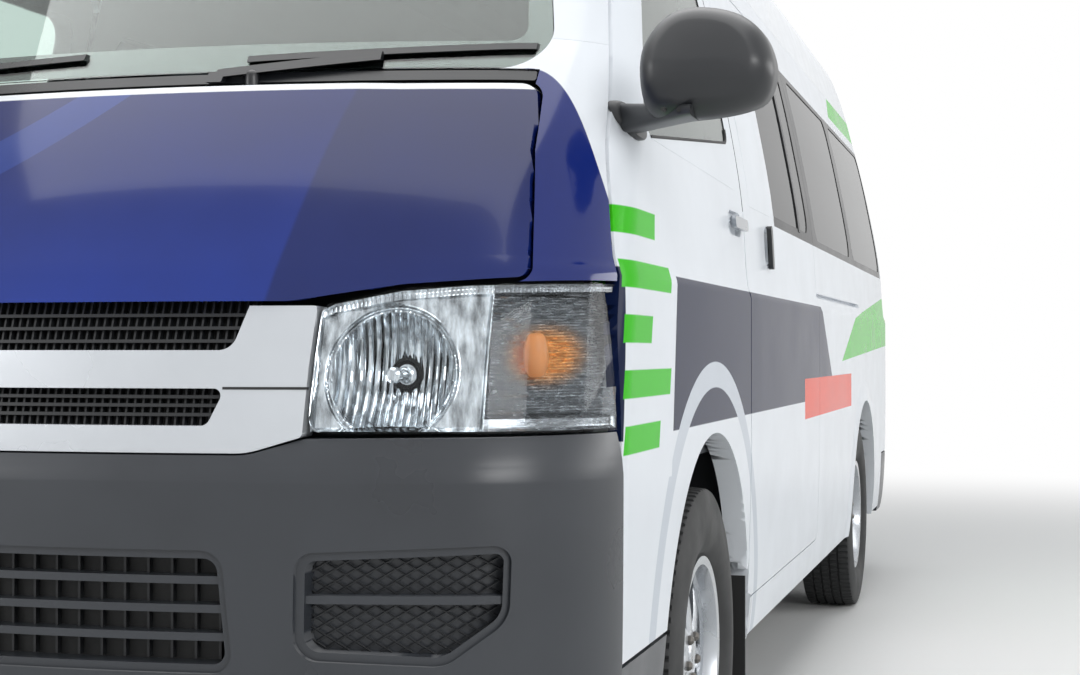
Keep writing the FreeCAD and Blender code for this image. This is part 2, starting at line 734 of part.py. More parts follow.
def step_trims():
    """The dark trims below the front doors, ahead of the wheels."""
    zone = box(-BESIDE, BESIDE, DOOR_FRONT_Y - DOOR_GAP + SEAT_GAP, ARCH_Y, BODY_BOTTOM,
               DOOR_BOTTOM - DOOR_GAP)
    return SHELL.common(zone).cut(arch(ARCH_Y, ARCH_R))


def rear_bumper():
    """The rear bumper, wrapped round both corners."""
    return SHELL.common(box(-BESIDE, BESIDE, REAR_BUMPER_FRONT_Y, BEHIND, BUMPER_BOTTOM + 60.0,
                            TAILGATE_BOTTOM - 2 * DOOR_GAP))


def tail_lamp():
    """One upright rear lamp on its corner."""
    return SHELL.common(along_y(TAIL_LAMP, TAIL_LAMP_FRONT_Y, BEHIND))


# Mirrors

MIRROR_Y = -2290.0
MIRROR_DEPTH = 110.0
MIRROR_HEAD = outline("front", [
    (953.0, 1362.0, 34.0),
    (1160.0, 1344.0, 62.0),
    (1179.0, 1500.0, 66.0),
    (968.0, 1522.0, 60.0),
])
MIRROR_EDGE_R = 30.0
MIRROR_RIM_R = 6.0
MIRROR_ARM = outline("plan", [
    (880.0, DOOR_FRONT_Y + 185.0, 4.0),
    (880.0, DOOR_FRONT_Y + 265.0, 4.0),
    (925.0, DOOR_FRONT_Y + 255.0, 15.0),
    (1003.0, MIRROR_Y + 30.0, 15.0),
    (983.0, MIRROR_Y - 10.0, 10.0),
])
MIRROR_ARM_Z = (SILL_FRONT + 22.0, SILL_FRONT + 56.0)


def mirror():
    """The left door mirror: a rounded head on a short arm from the door."""
    head = along_y(MIRROR_HEAD, MIRROR_Y - MIRROR_DEPTH / 2, MIRROR_Y + MIRROR_DEPTH / 2)
    front = [e for e in head.Edges if e.BoundBox.YMax < MIRROR_Y]
    head = head.makeFillet(MIRROR_EDGE_R, front)
    rear = [e for e in head.Edges if e.BoundBox.YMin > MIRROR_Y + MIRROR_DEPTH / 2 - 1.0]
    head = head.makeFillet(MIRROR_RIM_R, rear)
    arm = Part.Face(MIRROR_ARM)
    arm.translate(V(0, 0, MIRROR_ARM_Z[0]))
    arm = arm.extrude(V(0, 0, MIRROR_ARM_Z[1] - MIRROR_ARM_Z[0])).cut(hull(-SEAT_GAP))
    return fuse([head, arm])


# Wheels and front axle

KINGPIN_OFFSET = 125.0
SPINDLE_R = 26.0
PIN_R = 12.0
UPRIGHT_R = 22.0
KNUCKLE_LOW = 175.0
KNUCKLE_HIGH = 515.0
WISHBONE_THICK = 30.0
EYE_R = 20.0
RAIL_X = 400.0
RAIL_W = 70.0
RAIL_LOW = 470.0
FLOOR_Z = 640.0
FLOOR_THICK = 30.0
RAIL_HIGH = FLOOR_Z - FLOOR_THICK


def wheel_centre(axle_y, track, side):
    """A wheel's centre."""
    return V(side * track / 2, axle_y, TYRE_R)


def tyre(centre):
    """A tyre with sloped walls that bulge at their middle, a flat tread and a bead seat."""
    half = TYRE_WIDTH / 2
    bead = RIM_WIDTH / 2 - FLANGE_THICK - WHEEL_GAP
    upper = [(bead, RIM_R + WHEEL_GAP), (bead, RIM_R + BEAD_HEIGHT), (half, TYRE_BULGE_R),
             (half - SHOULDER, TYRE_R)]
    return revolved_x(upper + [(-x, radius) for x, radius in reversed(upper)], centre)


def spoke(side):
    """One spoke, standing up from the hub: thinner and narrower towards the rim."""
    sections = []
    for z, face_x, width in ((HUB_R - 12.0, SPOKE_ROOT_FACE, SPOKE_ROOT_WIDTH),
                             (RIM_R - 8.0, SPOKE_TIP_FACE, SPOKE_TIP_WIDTH)):
        corners = [V(side * x, y, z) for x, y in (
            (SPOKE_BACK, -width / 2), (face_x, -width / 2 + 4.0),
            (face_x, width / 2 - 4.0), (SPOKE_BACK, width / 2))]
        sections.append(Part.makePolygon(corners + corners[:1]))
    return Part.makeLoft(sections, True, True)


def rim(centre, side):
    """A wheel: its barrel, spokes, brake disc and the hub with its bore."""
    half = RIM_WIDTH / 2
    upper = [(half, RIM_R - RIM_WALL), (half, RIM_FLANGE_R), (half - FLANGE_THICK, RIM_FLANGE_R),
             (half - FLANGE_THICK, RIM_R)]
    barrel = revolved_x(upper + [(-x, radius) for x, radius in reversed(upper)], centre)
    out = V(side, 0, 0)
    hub = Part.makeCylinder(HUB_R, HUB_LENGTH, centre - out * HUB_BACK, out)
    disc = Part.makeCylinder(BRAKE_DISC_R, BRAKE_DISC_THICK, centre - out * HUB_BACK, out)
    bore = Part.makeCylinder(SPINDLE_R + WHEEL_GAP, 3 * HUB_BACK, centre - out * (HUB_BACK + 1.0), out)
    spokes = []
    for i in range(SPOKES):
        piece = spoke(side)
        piece.rotate(V(0, 0, 0), V(1, 0, 0), 360.0 * i / SPOKES)
        piece.translate(centre)
        spokes.append(piece)
    return fuse([barrel, hub, disc] + spokes).cut(bore)


def knuckle(side):
    """The steered upright: kingpin, spindle and steering arm."""
    pin_x = side * (FRONT_TRACK / 2 - KINGPIN_OFFSET)
    low = V(pin_x, FRONT_AXLE_Y, KNUCKLE_LOW)
    high = V(pin_x, FRONT_AXLE_Y, KNUCKLE_HIGH)
    inset = V(0, 0, WISHBONE_THICK + 10.0)
    axle = V(pin_x, FRONT_AXLE_Y, TYRE_R)
    arm = V(pin_x, FRONT_AXLE_Y, TYRE_R - 60.0)
    return fuse([
        rod(low, high, PIN_R),
        rod(low + inset, high - inset, UPRIGHT_R),
        rod(axle, axle + V(side * (KINGPIN_OFFSET + 30.0), 0, 0), SPINDLE_R),
        rod(arm, arm + V(-side * 20.0, 140.0, 0), PIN_R),
    ])


CROSSMEMBER_Z = (195.0, 265.0)
CROSSMEMBER_HALF = 60.0
WISHBONE_ROOT_HALF = 120.0
WISHBONE_TIP_HALF = 18.0


def wishbone(side, z):
    """One wishbone, from the rail's post to the eye round the kingpin."""
    pin_x = side * (FRONT_TRACK / 2 - KINGPIN_OFFSET)
    root_x = side * (RAIL_X + RAIL_W / 2)
    corners = [V(pin_x, FRONT_AXLE_Y - WISHBONE_TIP_HALF, z), V(pin_x, FRONT_AXLE_Y + WISHBONE_TIP_HALF, z),
               V(root_x, FRONT_AXLE_Y + WISHBONE_ROOT_HALF, z),
               V(root_x, FRONT_AXLE_Y - WISHBONE_ROOT_HALF, z)]
    arm = Part.Face(Part.makePolygon(corners + corners[:1])).extrude(V(0, 0, WISHBONE_THICK))
    eye = Part.makeCylinder(EYE_R, WISHBONE_THICK, V(pin_x, FRONT_AXLE_Y, z))
    hole = Part.makeCylinder(PIN_R + WHEEL_GAP, 2 * WISHBONE_THICK, V(pin_x, FRONT_AXLE_Y, z - CLEAR))
    return fuse([arm, eye]).cut(hole)


def front_suspension():
    """The crossmember, its posts and the wishbones whose eyes hold the kingpins."""
    edge = RAIL_X + RAIL_W / 2
    y0, y1 = FRONT_AXLE_Y - WISHBONE_ROOT_HALF, FRONT_AXLE_Y + WISHBONE_ROOT_HALF
    lower = KNUCKLE_LOW + 5.0
    upper = KNUCKLE_HIGH - WISHBONE_THICK - 5.0
    parts = [box(-edge, edge, FRONT_AXLE_Y - CROSSMEMBER_HALF, FRONT_AXLE_Y + CROSSMEMBER_HALF,
                 *CROSSMEMBER_Z)]
    for side in SIDES.values():
        parts.append(wishbone(side, lower))
        parts.append(wishbone(side, upper))
        parts.append(box(side * edge, side * (edge - RAIL_W), y0, y1, lower, RAIL_LOW))
        parts.append(box(side * edge, side * (edge + PIN_R), y0, y1, RAIL_LOW - 40.0, KNUCKLE_HIGH))
    return fuse(parts)


# Chassis and rear axle

RAIL_FRONT_Y = FRONT_Y + 260.0
RAIL_REAR_Y = REAR_Y - 120.0
CROSS_MEMBERS_Y = (RAIL_FRONT_Y + 40.0, -600.0, 400.0, 1150.0, RAIL_REAR_Y - 60.0)
CROSS_MEMBER_RISE = 60.0
CROSS_MEMBER_HALF = 35.0
JACK_PAD_Y = -400.0
JACK_PAD_HALF = 45.0
JACK_PAD_Z = 458.0
TOW_EYE_R = 18.0
TOW_EYE_THICK = 20.0
TOW_EYE_Z = 265.0
TOW_EYE_EDGE = 40.0
TOW_EYES_Y = (-2240.0, 2240.0)
SPRING_X = 540.0
SPRING_HALF = 30.0
LEAF_THICK = 12.0
LEAF_REACHES = (280.0, 460.0, 650.0)
HANGER_Y = 620.0
AXLE_TUBE_R = 45.0
DIFF_R = 140.0


def chassis_rails():
    """Two long rails with jacking pads, their cross members and the towing eyes."""
    parts = []
    for side in SIDES.values():
        x = side * RAIL_X
        rail = box(x - RAIL_W / 2, x + RAIL_W / 2, RAIL_FRONT_Y, RAIL_REAR_Y, RAIL_LOW, RAIL_HIGH)
        pad = box(x - RAIL_W / 2 + 5.0, x + RAIL_W / 2 - 5.0, JACK_PAD_Y - JACK_PAD_HALF,
                  JACK_PAD_Y + JACK_PAD_HALF, JACK_PAD_Z, RAIL_LOW)
        parts.append(fuse([rail, pad]))
    reach = RAIL_X - RAIL_W / 2 - SEAT_GAP
    for y in CROSS_MEMBERS_Y:
        parts.append(box(-reach, reach, y - CROSS_MEMBER_HALF, y + CROSS_MEMBER_HALF,
                         RAIL_LOW + CROSS_MEMBER_RISE, RAIL_HIGH))
    for y in TOW_EYES_Y:
        ear = outline("side", [
            (y - TOW_EYE_EDGE, TOW_EYE_Z - TOW_EYE_EDGE, TOW_EYE_EDGE - 1.0),
            (y + TOW_EYE_EDGE, TOW_EYE_Z - TOW_EYE_EDGE, TOW_EYE_EDGE - 1.0),
            (y + 70.0, RAIL_LOW - SEAT_GAP, 5.0),
            (y - 70.0, RAIL_LOW - SEAT_GAP, 5.0)])
        hole = Part.makeCylinder(TOW_EYE_R, RAIL_W, V(RAIL_X - RAIL_W / 2, y, TOW_EYE_Z), V(1, 0, 0))
        parts.append(along_x(ear, RAIL_X - TOW_EYE_THICK / 2, RAIL_X + TOW_EYE_THICK / 2).cut(hole))
    return compound(parts)


def rear_axle():
    """The driven axle: tube, differential and two leaf springs with their hangers."""
    centre = V(0, REAR_AXLE_Y, TYRE_R)
    half = REAR_TRACK / 2
    tube = rod(centre - V(half - 105.0, 0, 0), centre + V(half - 105.0, 0, 0), AXLE_TUBE_R)
    stub = rod(centre - V(half + 30.0, 0, 0), centre + V(half + 30.0, 0, 0), SPINDLE_R)
    ring = Part.makeCylinder(DIFF_R, 120.0, centre - V(0, 60.0, 0), V(0, 1, 0))
    cover = Part.makeCone(DIFF_R - 12.0, DIFF_R / 2, 60.0, centre + V(0, 60.0, 0), V(0, 1, 0))
    nose = Part.makeCone(DIFF_R - 20.0, AXLE_TUBE_R, 200.0, centre - V(0, 60.0, 0), V(0, -1, 0))
    parts = [fuse([tube, stub, ring, cover, nose])]
    spring_low = TYRE_R + AXLE_TUBE_R + SEAT_GAP
    spring_high = spring_low + LEAF_THICK * len(LEAF_REACHES)
    for side in SIDES.values():
        x = side * SPRING_X
        parts.append(fuse([
            box(x - SPRING_HALF, x + SPRING_HALF, REAR_AXLE_Y - reach, REAR_AXLE_Y + reach,
                spring_low + LEAF_THICK * i, spring_low + LEAF_THICK * (i + 1))
            for i, reach in enumerate(LEAF_REACHES)]))
        for y in (REAR_AXLE_Y - HANGER_Y, REAR_AXLE_Y + HANGER_Y):
            parts.append(box(x - 25.0, x + 25.0, y - 20.0, y + 20.0, spring_high + SEAT_GAP, RAIL_HIGH))
    return compound(parts)


# Cabin

RAISED_FLOOR_Z = 780.0
FOOTWELL_FRONT_Y = FRONT_Y + 265.0
FOOTWELL_REAR_Y = ARCH_Y - ARCH_R - 8.0
RAISED_REAR_Y = DOOR_REAR_Y + 20.0
FLOOR_REAR_Y = REAR_Y - 110.0
BULKHEAD_Y = FRONT_Y + 480.0
BULKHEAD_THICK = 20.0
WELL_THICK = 15.0
WELL_X = REAR_TRACK / 2 - TYRE_WIDTH / 2 - 45.0
WELL_R = REAR_ARCH_R - 10.0


def floor_plate(margin, y0, y1, z0, z1):
    """A level plate or a riser from side to side, a margin inside the body's skin."""
    return box(-BESIDE, BESIDE, y0, y1, z0, z1).common(hull(margin))


def well_round(start_x, radius):
    """A cylinder round the left rear wheel's arch, from a place out past the body."""
    return Part.makeCylinder(radius, BESIDE - start_x, V(start_x, REAR_AXLE_Y, ARCH_Z), V(1, 0, 0))


def wheel_well():
    """The left rear wheel's well: its upright inner wall and the arch over the wheel."""
    bottom = FLOOR_Z - FLOOR_THICK
    inside = hull(WALL + SEAT_GAP)
    arch_x = WELL_X + WELL_THICK
    wall = well_round(WELL_X, WELL_R).common(box(WELL_X, arch_x, 0, BEHIND, bottom, HEIGHT))
    arch = well_round(arch_x + SEAT_GAP, WELL_R).cut(well_round(arch_x, WELL_R - WELL_THICK))
    arch = arch.common(box(0, BESIDE, 0, BEHIND, bottom, HEIGHT))
    return [wall.common(inside), arch.common(inside)]


def floor_pan():
    """The floor: footwell, raised part over the front wheels, cabin floor and rear wheel wells."""
    t = FLOOR_THICK
    cab, cabin = WALL + CLEAR, WALL + SEAT_GAP
    riser = (FLOOR_Z + SEAT_GAP, RAISED_FLOOR_Z - t - SEAT_GAP)
    plates = [
        floor_plate(cab, FOOTWELL_FRONT_Y, FOOTWELL_REAR_Y + t, FLOOR_Z - t, FLOOR_Z),
        floor_plate(cab, FOOTWELL_REAR_Y, FOOTWELL_REAR_Y + t, *riser),
        floor_plate(cab, FOOTWELL_REAR_Y, RAISED_REAR_Y + t, RAISED_FLOOR_Z - t, RAISED_FLOOR_Z),
        floor_plate(cabin, RAISED_REAR_Y, RAISED_REAR_Y + t, *riser),
    ]
    rear = floor_plate(cabin, RAISED_REAR_Y, FLOOR_REAR_Y, FLOOR_Z - t, FLOOR_Z)
    middle_x = WELL_X - SEAT_GAP
    plates.append(rear.common(box(-middle_x, middle_x, AHEAD, BEHIND, 0, HEIGHT)))
    beside = rear.common(box(WELL_X, BESIDE, AHEAD, BEHIND, 0, HEIGHT))
    plates.extend(both_sides(beside.cut(well_round(WELL_X, WELL_R + SEAT_GAP))).Solids)
    for part in wheel_well():
        plates.extend([part, mirrored(part)])
    return compound(plates)


def bulkhead():
    """The wall between the nose and the cab, from the footwell to the windscreen."""
    return box(-840.0, 840.0, BULKHEAD_Y, BULKHEAD_Y + BULKHEAD_THICK, FLOOR_Z + SEAT_GAP,
               HOOD_TOP + 12.0 - SEAT_GAP).common(hull(WALL + CLEAR))


DASH_Y = BULKHEAD_Y + BULKHEAD_THICK + SEAT_GAP
DASH = outline("side", [
    (DASH_Y, 980.0, 10.0), (DASH_Y + 240.0, 962.0, 40.0), (DASH_Y + 320.0, 1130.0, 40.0),
    (DASH_Y + 290.0, 1320.0, 60.0), (DASH_Y + 60.0, 1395.0, 20.0), (DASH_Y, 1395.0, 5.0)])
DIAL_HOOD = outline("side", [
    (DASH_Y + 90.0, 1300.0, 5.0), (DASH_Y + 290.0, 1270.0, 10.0), (DASH_Y + 300.0, 1350.0, 20.0),
    (DASH_Y + 150.0, 1425.0, 40.0)])
DIAL_HOOD_HALF = 170.0
STACK_LOW = 970.0
CENTRE_STACK = outline("side", [
    (DASH_Y + 150.0, STACK_LOW, 10.0), (DASH_Y + 340.0, STACK_LOW, 20.0),
    (DASH_Y + 340.0, 1220.0, 40.0), (DASH_Y + 200.0, 1340.0, 10.0)])
CENTRE_STACK_HALF = 120.0
DASH_HALF = 820.0
STEER_X = -400.0
STEER_Y = -1780.0
STEER_Z = 1180.0
STEER_R = 190.0
STEER_RING_R = 15.0
STEER_RING_SIDES = 8
STEER_HUB_R = 55.0
STEER_COLUMN = 200.0
STEER_COLUMN_R = 30.0
STEER_TILT = 35.0


def dashboard():
    """The dashboard's moulding, with a hood over the dials and a stack in the middle."""
    body = fuse([
        along_x(DASH, -DASH_HALF, DASH_HALF),
        along_x(DIAL_HOOD, STEER_X - DIAL_HOOD_HALF, STEER_X + DIAL_HOOD_HALF),
        along_x(CENTRE_STACK, -CENTRE_STACK_HALF, CENTRE_STACK_HALF),
    ])
    return body.common(hull(WALL + 2 * CLEAR))


def steering_wheel():
    """The steering wheel and its column, on the right-hand side."""
    turn = 2 * math.pi / STEER_RING_SIDES
    points = [V(STEER_R + STEER_RING_R * math.cos(turn * i), 0, STEER_RING_R * math.sin(turn * i))
              for i in range(STEER_RING_SIDES)]
    ring = Part.Face(Part.makePolygon(points + points[:1])).revolve(V(0, 0, 0), V(0, 0, 1), 360)
    hub = Part.makeCylinder(STEER_HUB_R, 40.0, V(0, 0, -30.0))
    column = Part.makeCylinder(STEER_COLUMN_R, STEER_COLUMN, V(0, 0, -STEER_COLUMN))
    cross = box(-STEER_R, STEER_R, -16.0, 16.0, -12.0, 4.0)
    lower = box(-16.0, 16.0, -STEER_R, 0, -12.0, 4.0)
    wheel = fuse([ring, hub, column, cross, lower])
    wheel.rotate(V(0, 0, 0), V(1, 0, 0), -STEER_TILT)
    wheel.translate(V(STEER_X, STEER_Y, STEER_Z))
    return wheel.cut(dashboard())


# Seats, by the middle of the cushion's front edge
Seat = namedtuple("Seat", "x y z width")
SEAT_LENGTH = 460.0
SEAT_HEIGHT = 130.0
BACK_THICK = 110.0
BACK_TAPER = 0.7
BACK_HEIGHT = 560.0
RECLINE = 85.0
LEG_HEIGHT = 270.0
HEADREST_HALF = 120.0
HEADREST_HEIGHT = 150.0
HEADREST_THICK = 80.0
HEADREST_GAP = 25.0
POST_HALF = 6.0
POST_DEEP = 20.0
FRONT_SEAT_Z = RAISED_FLOOR_Z + 60.0
FRONT_SEATS = (
    Seat(-455.0, -1760.0, FRONT_SEAT_Z, 500.0),
    Seat(0.0, -1760.0, FRONT_SEAT_Z, 380.0),
    Seat(455.0, -1760.0, FRONT_SEAT_Z, 500.0),
)
ROWS_Y = (-850.0, -80.0, 700.0)
ROW_X = (-590.0, -140.0, 590.0)
LAST_ROW_Y = 1900.0
LAST_ROW_X = (-630.0, -210.0, 210.0, 630.0)
REAR_SEATS = tuple(Seat(x, y, FLOOR_Z + LEG_HEIGHT, 440.0) for y in ROWS_Y for x in ROW_X) + tuple(
    Seat(x, LAST_ROW_Y, FLOOR_Z + LEG_HEIGHT, 400.0) for x in LAST_ROW_X)


def seat(s):
    """One seat: a cushion, a leaning back over its rear, and a headrest on two posts."""
    back_y = s.y + SEAT_LENGTH
    left, right = s.x - s.width / 2, s.x + s.width / 2
    cushion_top = s.z + SEAT_HEIGHT
    lean_y = back_y + RECLINE * SEAT_HEIGHT / BACK_HEIGHT
    cushion = along_x(outline("side", [
        (s.y, s.z, 25.0), (back_y, s.z, 20.0), (lean_y, cushion_top, 4.0), (s.y, cushion_top, 45.0)]),
        left, right)
    top_y = back_y + RECLINE
    top_z = s.z + BACK_HEIGHT
    back = along_x(outline("side", [
        (lean_y, cushion_top + SEAT_GAP, 4.0), (top_y, top_z, 35.0),
        (top_y - BACK_TAPER * BACK_THICK, top_z, 30.0), (back_y - BACK_THICK, cushion_top + SEAT_GAP, 4.0)]),
        left, right)
    low = top_z + HEADREST_GAP
    rest_front, rest_rear = top_y - HEADREST_THICK + 10.0, top_y + 10.0
    rest = along_x(rectangle("side", rest_front, rest_rear, low, low + HEADREST_HEIGHT, 28.0),
                   s.x - HEADREST_HALF, s.x + HEADREST_HALF)
    middle_y = (rest_front + rest_rear) / 2
    posts = [box(x - POST_HALF, x + POST_HALF, middle_y - POST_HALF, middle_y + POST_HALF,
                 top_z + SEAT_GAP, low + POST_DEEP)
             for x in (s.x - HEADREST_HALF / 2, s.x + HEADREST_HALF / 2)]
    return [cushion, back, fuse([rest] + posts)]


def seat_bases(seats, floor_z):
    """Plain bases under the seats."""
    return [box(s.x - s.width / 2 + 60.0, s.x + s.width / 2 - 60.0, s.y + 40.0, s.y + SEAT_LENGTH - 40.0,
                floor_z + SEAT_GAP, s.z - SEAT_GAP) for s in seats]


# Under the body

ENGINE_Y = (FRONT_AXLE_Y - 190.0, FRONT_AXLE_Y + 430.0)
ENGINE_HALF = 300.0
ENGINE_LOW = 275.0
RADIATOR_Y = FRONT_Y + 346.0
RADIATOR_HALF = 330.0
EXHAUST_X = 230.0
EXHAUST_Z = 420.0
TANK_X = (-800.0, -445.0)
TANK_Y = (-850.0, 150.0)
SILENCER_Y = (100.0, 750.0)
SPARE_R = TYRE_R - 20.0
SPARE_Y = REAR_AXLE_Y + 560.0
SPARE_Z = 330.0
FLAP_THICK = 6.0
FLAP_LOW = 200.0
FLAP_INNER_X = 700.0


def engine():
    """The engine as one plain block between the rails."""
    return box(-ENGINE_HALF, ENGINE_HALF, *ENGINE_Y, ENGINE_LOW, RAISED_FLOOR_Z - FLOOR_THICK - 20.0)


def radiator():
    """The radiator behind the bumper."""
    return box(-RADIATOR_HALF, RADIATOR_HALF, RADIATOR_Y, RADIATOR_Y + 60.0, 300.0, RAIL_HIGH - SEAT_GAP)


def fuel_tank():
    """The fuel tank on the right, inside the sill."""
    tank = box(*TANK_X, *TANK_Y, 300.0, RAIL_HIGH - SEAT_GAP)
    return tank.makeFillet(40.0, [e for e in tank.Edges if abs(e.tangentAt(e.FirstParameter).y) > 0.9])


def exhaust():
    """The exhaust pipe with its silencer."""
    pipe = rod(V(EXHAUST_X, ENGINE_Y[1] + SEAT_GAP, EXHAUST_Z), V(EXHAUST_X, 1100.0, EXHAUST_Z), 24.0)
    silencer = rod(V(EXHAUST_X, SILENCER_Y[0], EXHAUST_Z), V(EXHAUST_X, SILENCER_Y[1], EXHAUST_Z), 90.0)
    return fuse([pipe, silencer])


def spare_wheel():
    """The spare wheel, lying under the rear floor."""
    return Part.makeCylinder(SPARE_R, TYRE_WIDTH - CLEAR, V(0, SPARE_Y, SPARE_Z))


def mud_flaps():
    """Rubber flaps behind the four wheels."""
    front_y = ARCH_Y + ARCH_R - 20.0
    rear_y = REAR_AXLE_Y + REAR_ARCH_R + 8.0
    top = RAIL_HIGH - SEAT_GAP
    inside = HALF_WIDTH - WALL - 2 * CLEAR
    front = fuse([
        box(FLAP_INNER_X, inside, front_y, front_y + FLAP_THICK, FLAP_LOW, top),
        box(inside, HALF_WIDTH - 2 * CLEAR, front_y, front_y + FLAP_THICK, FLAP_LOW, DOOR_BOTTOM - 15.0)])
    rear = box(FLAP_INNER_X, inside - 3 * CLEAR, rear_y, rear_y + FLAP_THICK, FLAP_LOW, top)
    return compound([front, mirrored(front), rear, mirrored(rear)])


def build():
    """All sub-parts by name."""
    parts = {
        "roof": roof(),
        "cab_frame": cab_frame(),
        "corner_panels": corner_panels(),
        "left_side_panel": side_panel(LEFT),
        "right_side_panel": side_panel(RIGHT),
        "sliding_door": sliding_door(),
        "side_windows": side_glass(),
        "windscreen": windscreen(),
        "cowl": cowl(),
        "wipers": wipers(),
        "hood": hood(),
        "grille": grille(),
        "grille_slats": grille_slats(),
        "front_bumper": front_bumper(),
        "headlamp_housings": both_sides(headlamp_housing()),
        "headlamp_lenses": both_sides(headlamp_lens()),
        "step_trims": step_trims(),
        "rear_bumper": rear_bumper(),
        "tail_lamps": both_sides(tail_lamp()),
        "tailgate": tailgate(),
        "tailgate_glass": pane(rear_slab(grown(TAIL_WINDOW, -SEAT_GAP))),
        "floor_pan": floor_pan(),
        "bulkhead": bulkhead(),
        "dashboard": dashboard(),
        "steering_wheel": steering_wheel(),
        "seats": compound([part for s in FRONT_SEATS + REAR_SEATS for part in seat(s)]),
        "seat_bases": compound(seat_bases(FRONT_SEATS, RAISED_FLOOR_Z) + seat_bases(REAR_SEATS, FLOOR_Z)),
        "chassis_rails": chassis_rails(),
        "front_suspension": front_suspension(),
        "rear_axle": rear_axle(),
        "engine": engine(),
        "radiator": radiator(),
        "fuel_tank": fuel_tank(),
        "exhaust": exhaust(),
        "spare_wheel": spare_wheel(),
        "mud_flaps": mud_flaps(),
    }
    for node, shape in (("door", front_door()), ("door_glass", door_glass()), ("mirror", mirror())):
        parts[node + "_left"] = shape
        parts[node + "_right"] = mirrored(shape)
    for name, side in SIDES.items():
        parts["knuckle_" + name] = knuckle(side)
        for end, axle_y, track in (("front", FRONT_AXLE_Y, FRONT_TRACK), ("rear", REAR_AXLE_Y, REAR_TRACK)):
            centre = wheel_centre(axle_y, track, side)
            parts["tyre_%s_%s" % (end, name)] = tyre(centre)
            parts["rim_%s_%s" % (end, name)] = rim(centre, side)
    return parts


os.makedirs("parts", exist_ok=True)
for node, shape in build().items():
    shape.exportStep("parts/%s.step" % node)
    print("%-20s solids %2d valid %s volume %.4g" % (node, len(shape.Solids), shape.isValid(), shape.Volume))
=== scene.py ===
"""The looks of a high-roof passenger minibus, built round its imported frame.

Metres. The nose points to -Y, the side with the sliding door is +X and +Z is up.
"""

import logging
import math
from dataclasses import dataclass, field
from enum import Enum
from functools import cached_property, reduce
from typing import Callable, Iterable, Optional, Sequence

import bmesh
import bpy
import numpy as np
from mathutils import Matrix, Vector


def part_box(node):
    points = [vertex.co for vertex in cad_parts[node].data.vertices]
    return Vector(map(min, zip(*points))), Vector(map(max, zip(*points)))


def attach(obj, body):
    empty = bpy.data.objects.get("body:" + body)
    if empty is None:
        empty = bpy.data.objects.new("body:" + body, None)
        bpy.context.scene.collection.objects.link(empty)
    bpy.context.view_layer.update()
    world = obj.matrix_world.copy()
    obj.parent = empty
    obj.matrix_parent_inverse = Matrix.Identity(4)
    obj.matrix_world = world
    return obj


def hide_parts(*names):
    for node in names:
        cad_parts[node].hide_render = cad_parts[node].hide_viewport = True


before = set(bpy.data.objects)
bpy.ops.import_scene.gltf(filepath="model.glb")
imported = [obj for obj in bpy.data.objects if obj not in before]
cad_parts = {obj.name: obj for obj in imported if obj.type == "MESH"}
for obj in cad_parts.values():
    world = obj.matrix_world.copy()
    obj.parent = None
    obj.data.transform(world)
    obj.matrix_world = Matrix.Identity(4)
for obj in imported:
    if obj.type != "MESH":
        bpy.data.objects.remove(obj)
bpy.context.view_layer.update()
log = logging.getLogger("minibus")

HALF_LENGTH = 2.690
HALF_WIDTH = 0.940
FRONT_AXLE_Y = -1.540
REAR_AXLE_Y = 1.570
WHEEL_R = 0.345
MM = 0.001

NOISE = {"From Min": 0.3, "From Max": 0.7}   # where nearly all of a noise's values lie
COAT_ROUGHNESS = 0.04
METAL_FROM = 0.5                             # a finish more metallic than this keeps the default IOR


class Side(Enum):
    """The vehicle's two sides, by the sign of X."""

    LEFT = 1
    RIGHT = -1

    @property
    def word(self) -> str:
        """The side's name in the frame's nodes and bodies."""
        return self.name.lower()


# Materials

def linear(code: str) -> tuple[float, float, float, float]:
    """Turn an sRGB hex colour into linear values.

    Args:
        code: six hex digits.

    Returns:
        Linear red, green, blue and an alpha of 1.
    """
    parts = [int(code[i:i + 2], 16) / 255 for i in (0, 2, 4)]
    red, green, blue = (p / 12.92 if p <= 0.04045 else ((p + 0.055) / 1.055) ** 2.4 for p in parts)
    return red, green, blue, 1.0


def add(tree: bpy.types.NodeTree, kind: str, inputs: Optional[dict] = None, **settings) -> bpy.types.Node:
    """Add one node with its settings, values and links.

    Args:
        tree: the tree that gets the node.
        kind: the node's type, without the word that every shader node's type starts with.
        inputs: values, outputs, or nodes whose first output is meant, by input name or number.
        settings: attributes of the node.

    Returns:
        The new node.
    """
    node = tree.nodes.new("ShaderNode" + kind)
    for name, value in settings.items():
        setattr(node, name, value)
    for key, value in (inputs or {}).items():
        if isinstance(value, bpy.types.Node):
            value = value.outputs[0]
        if isinstance(value, bpy.types.NodeSocket):
            tree.links.new(value, node.inputs[key])
        else:
            node.inputs[key].default_value = value
    return node


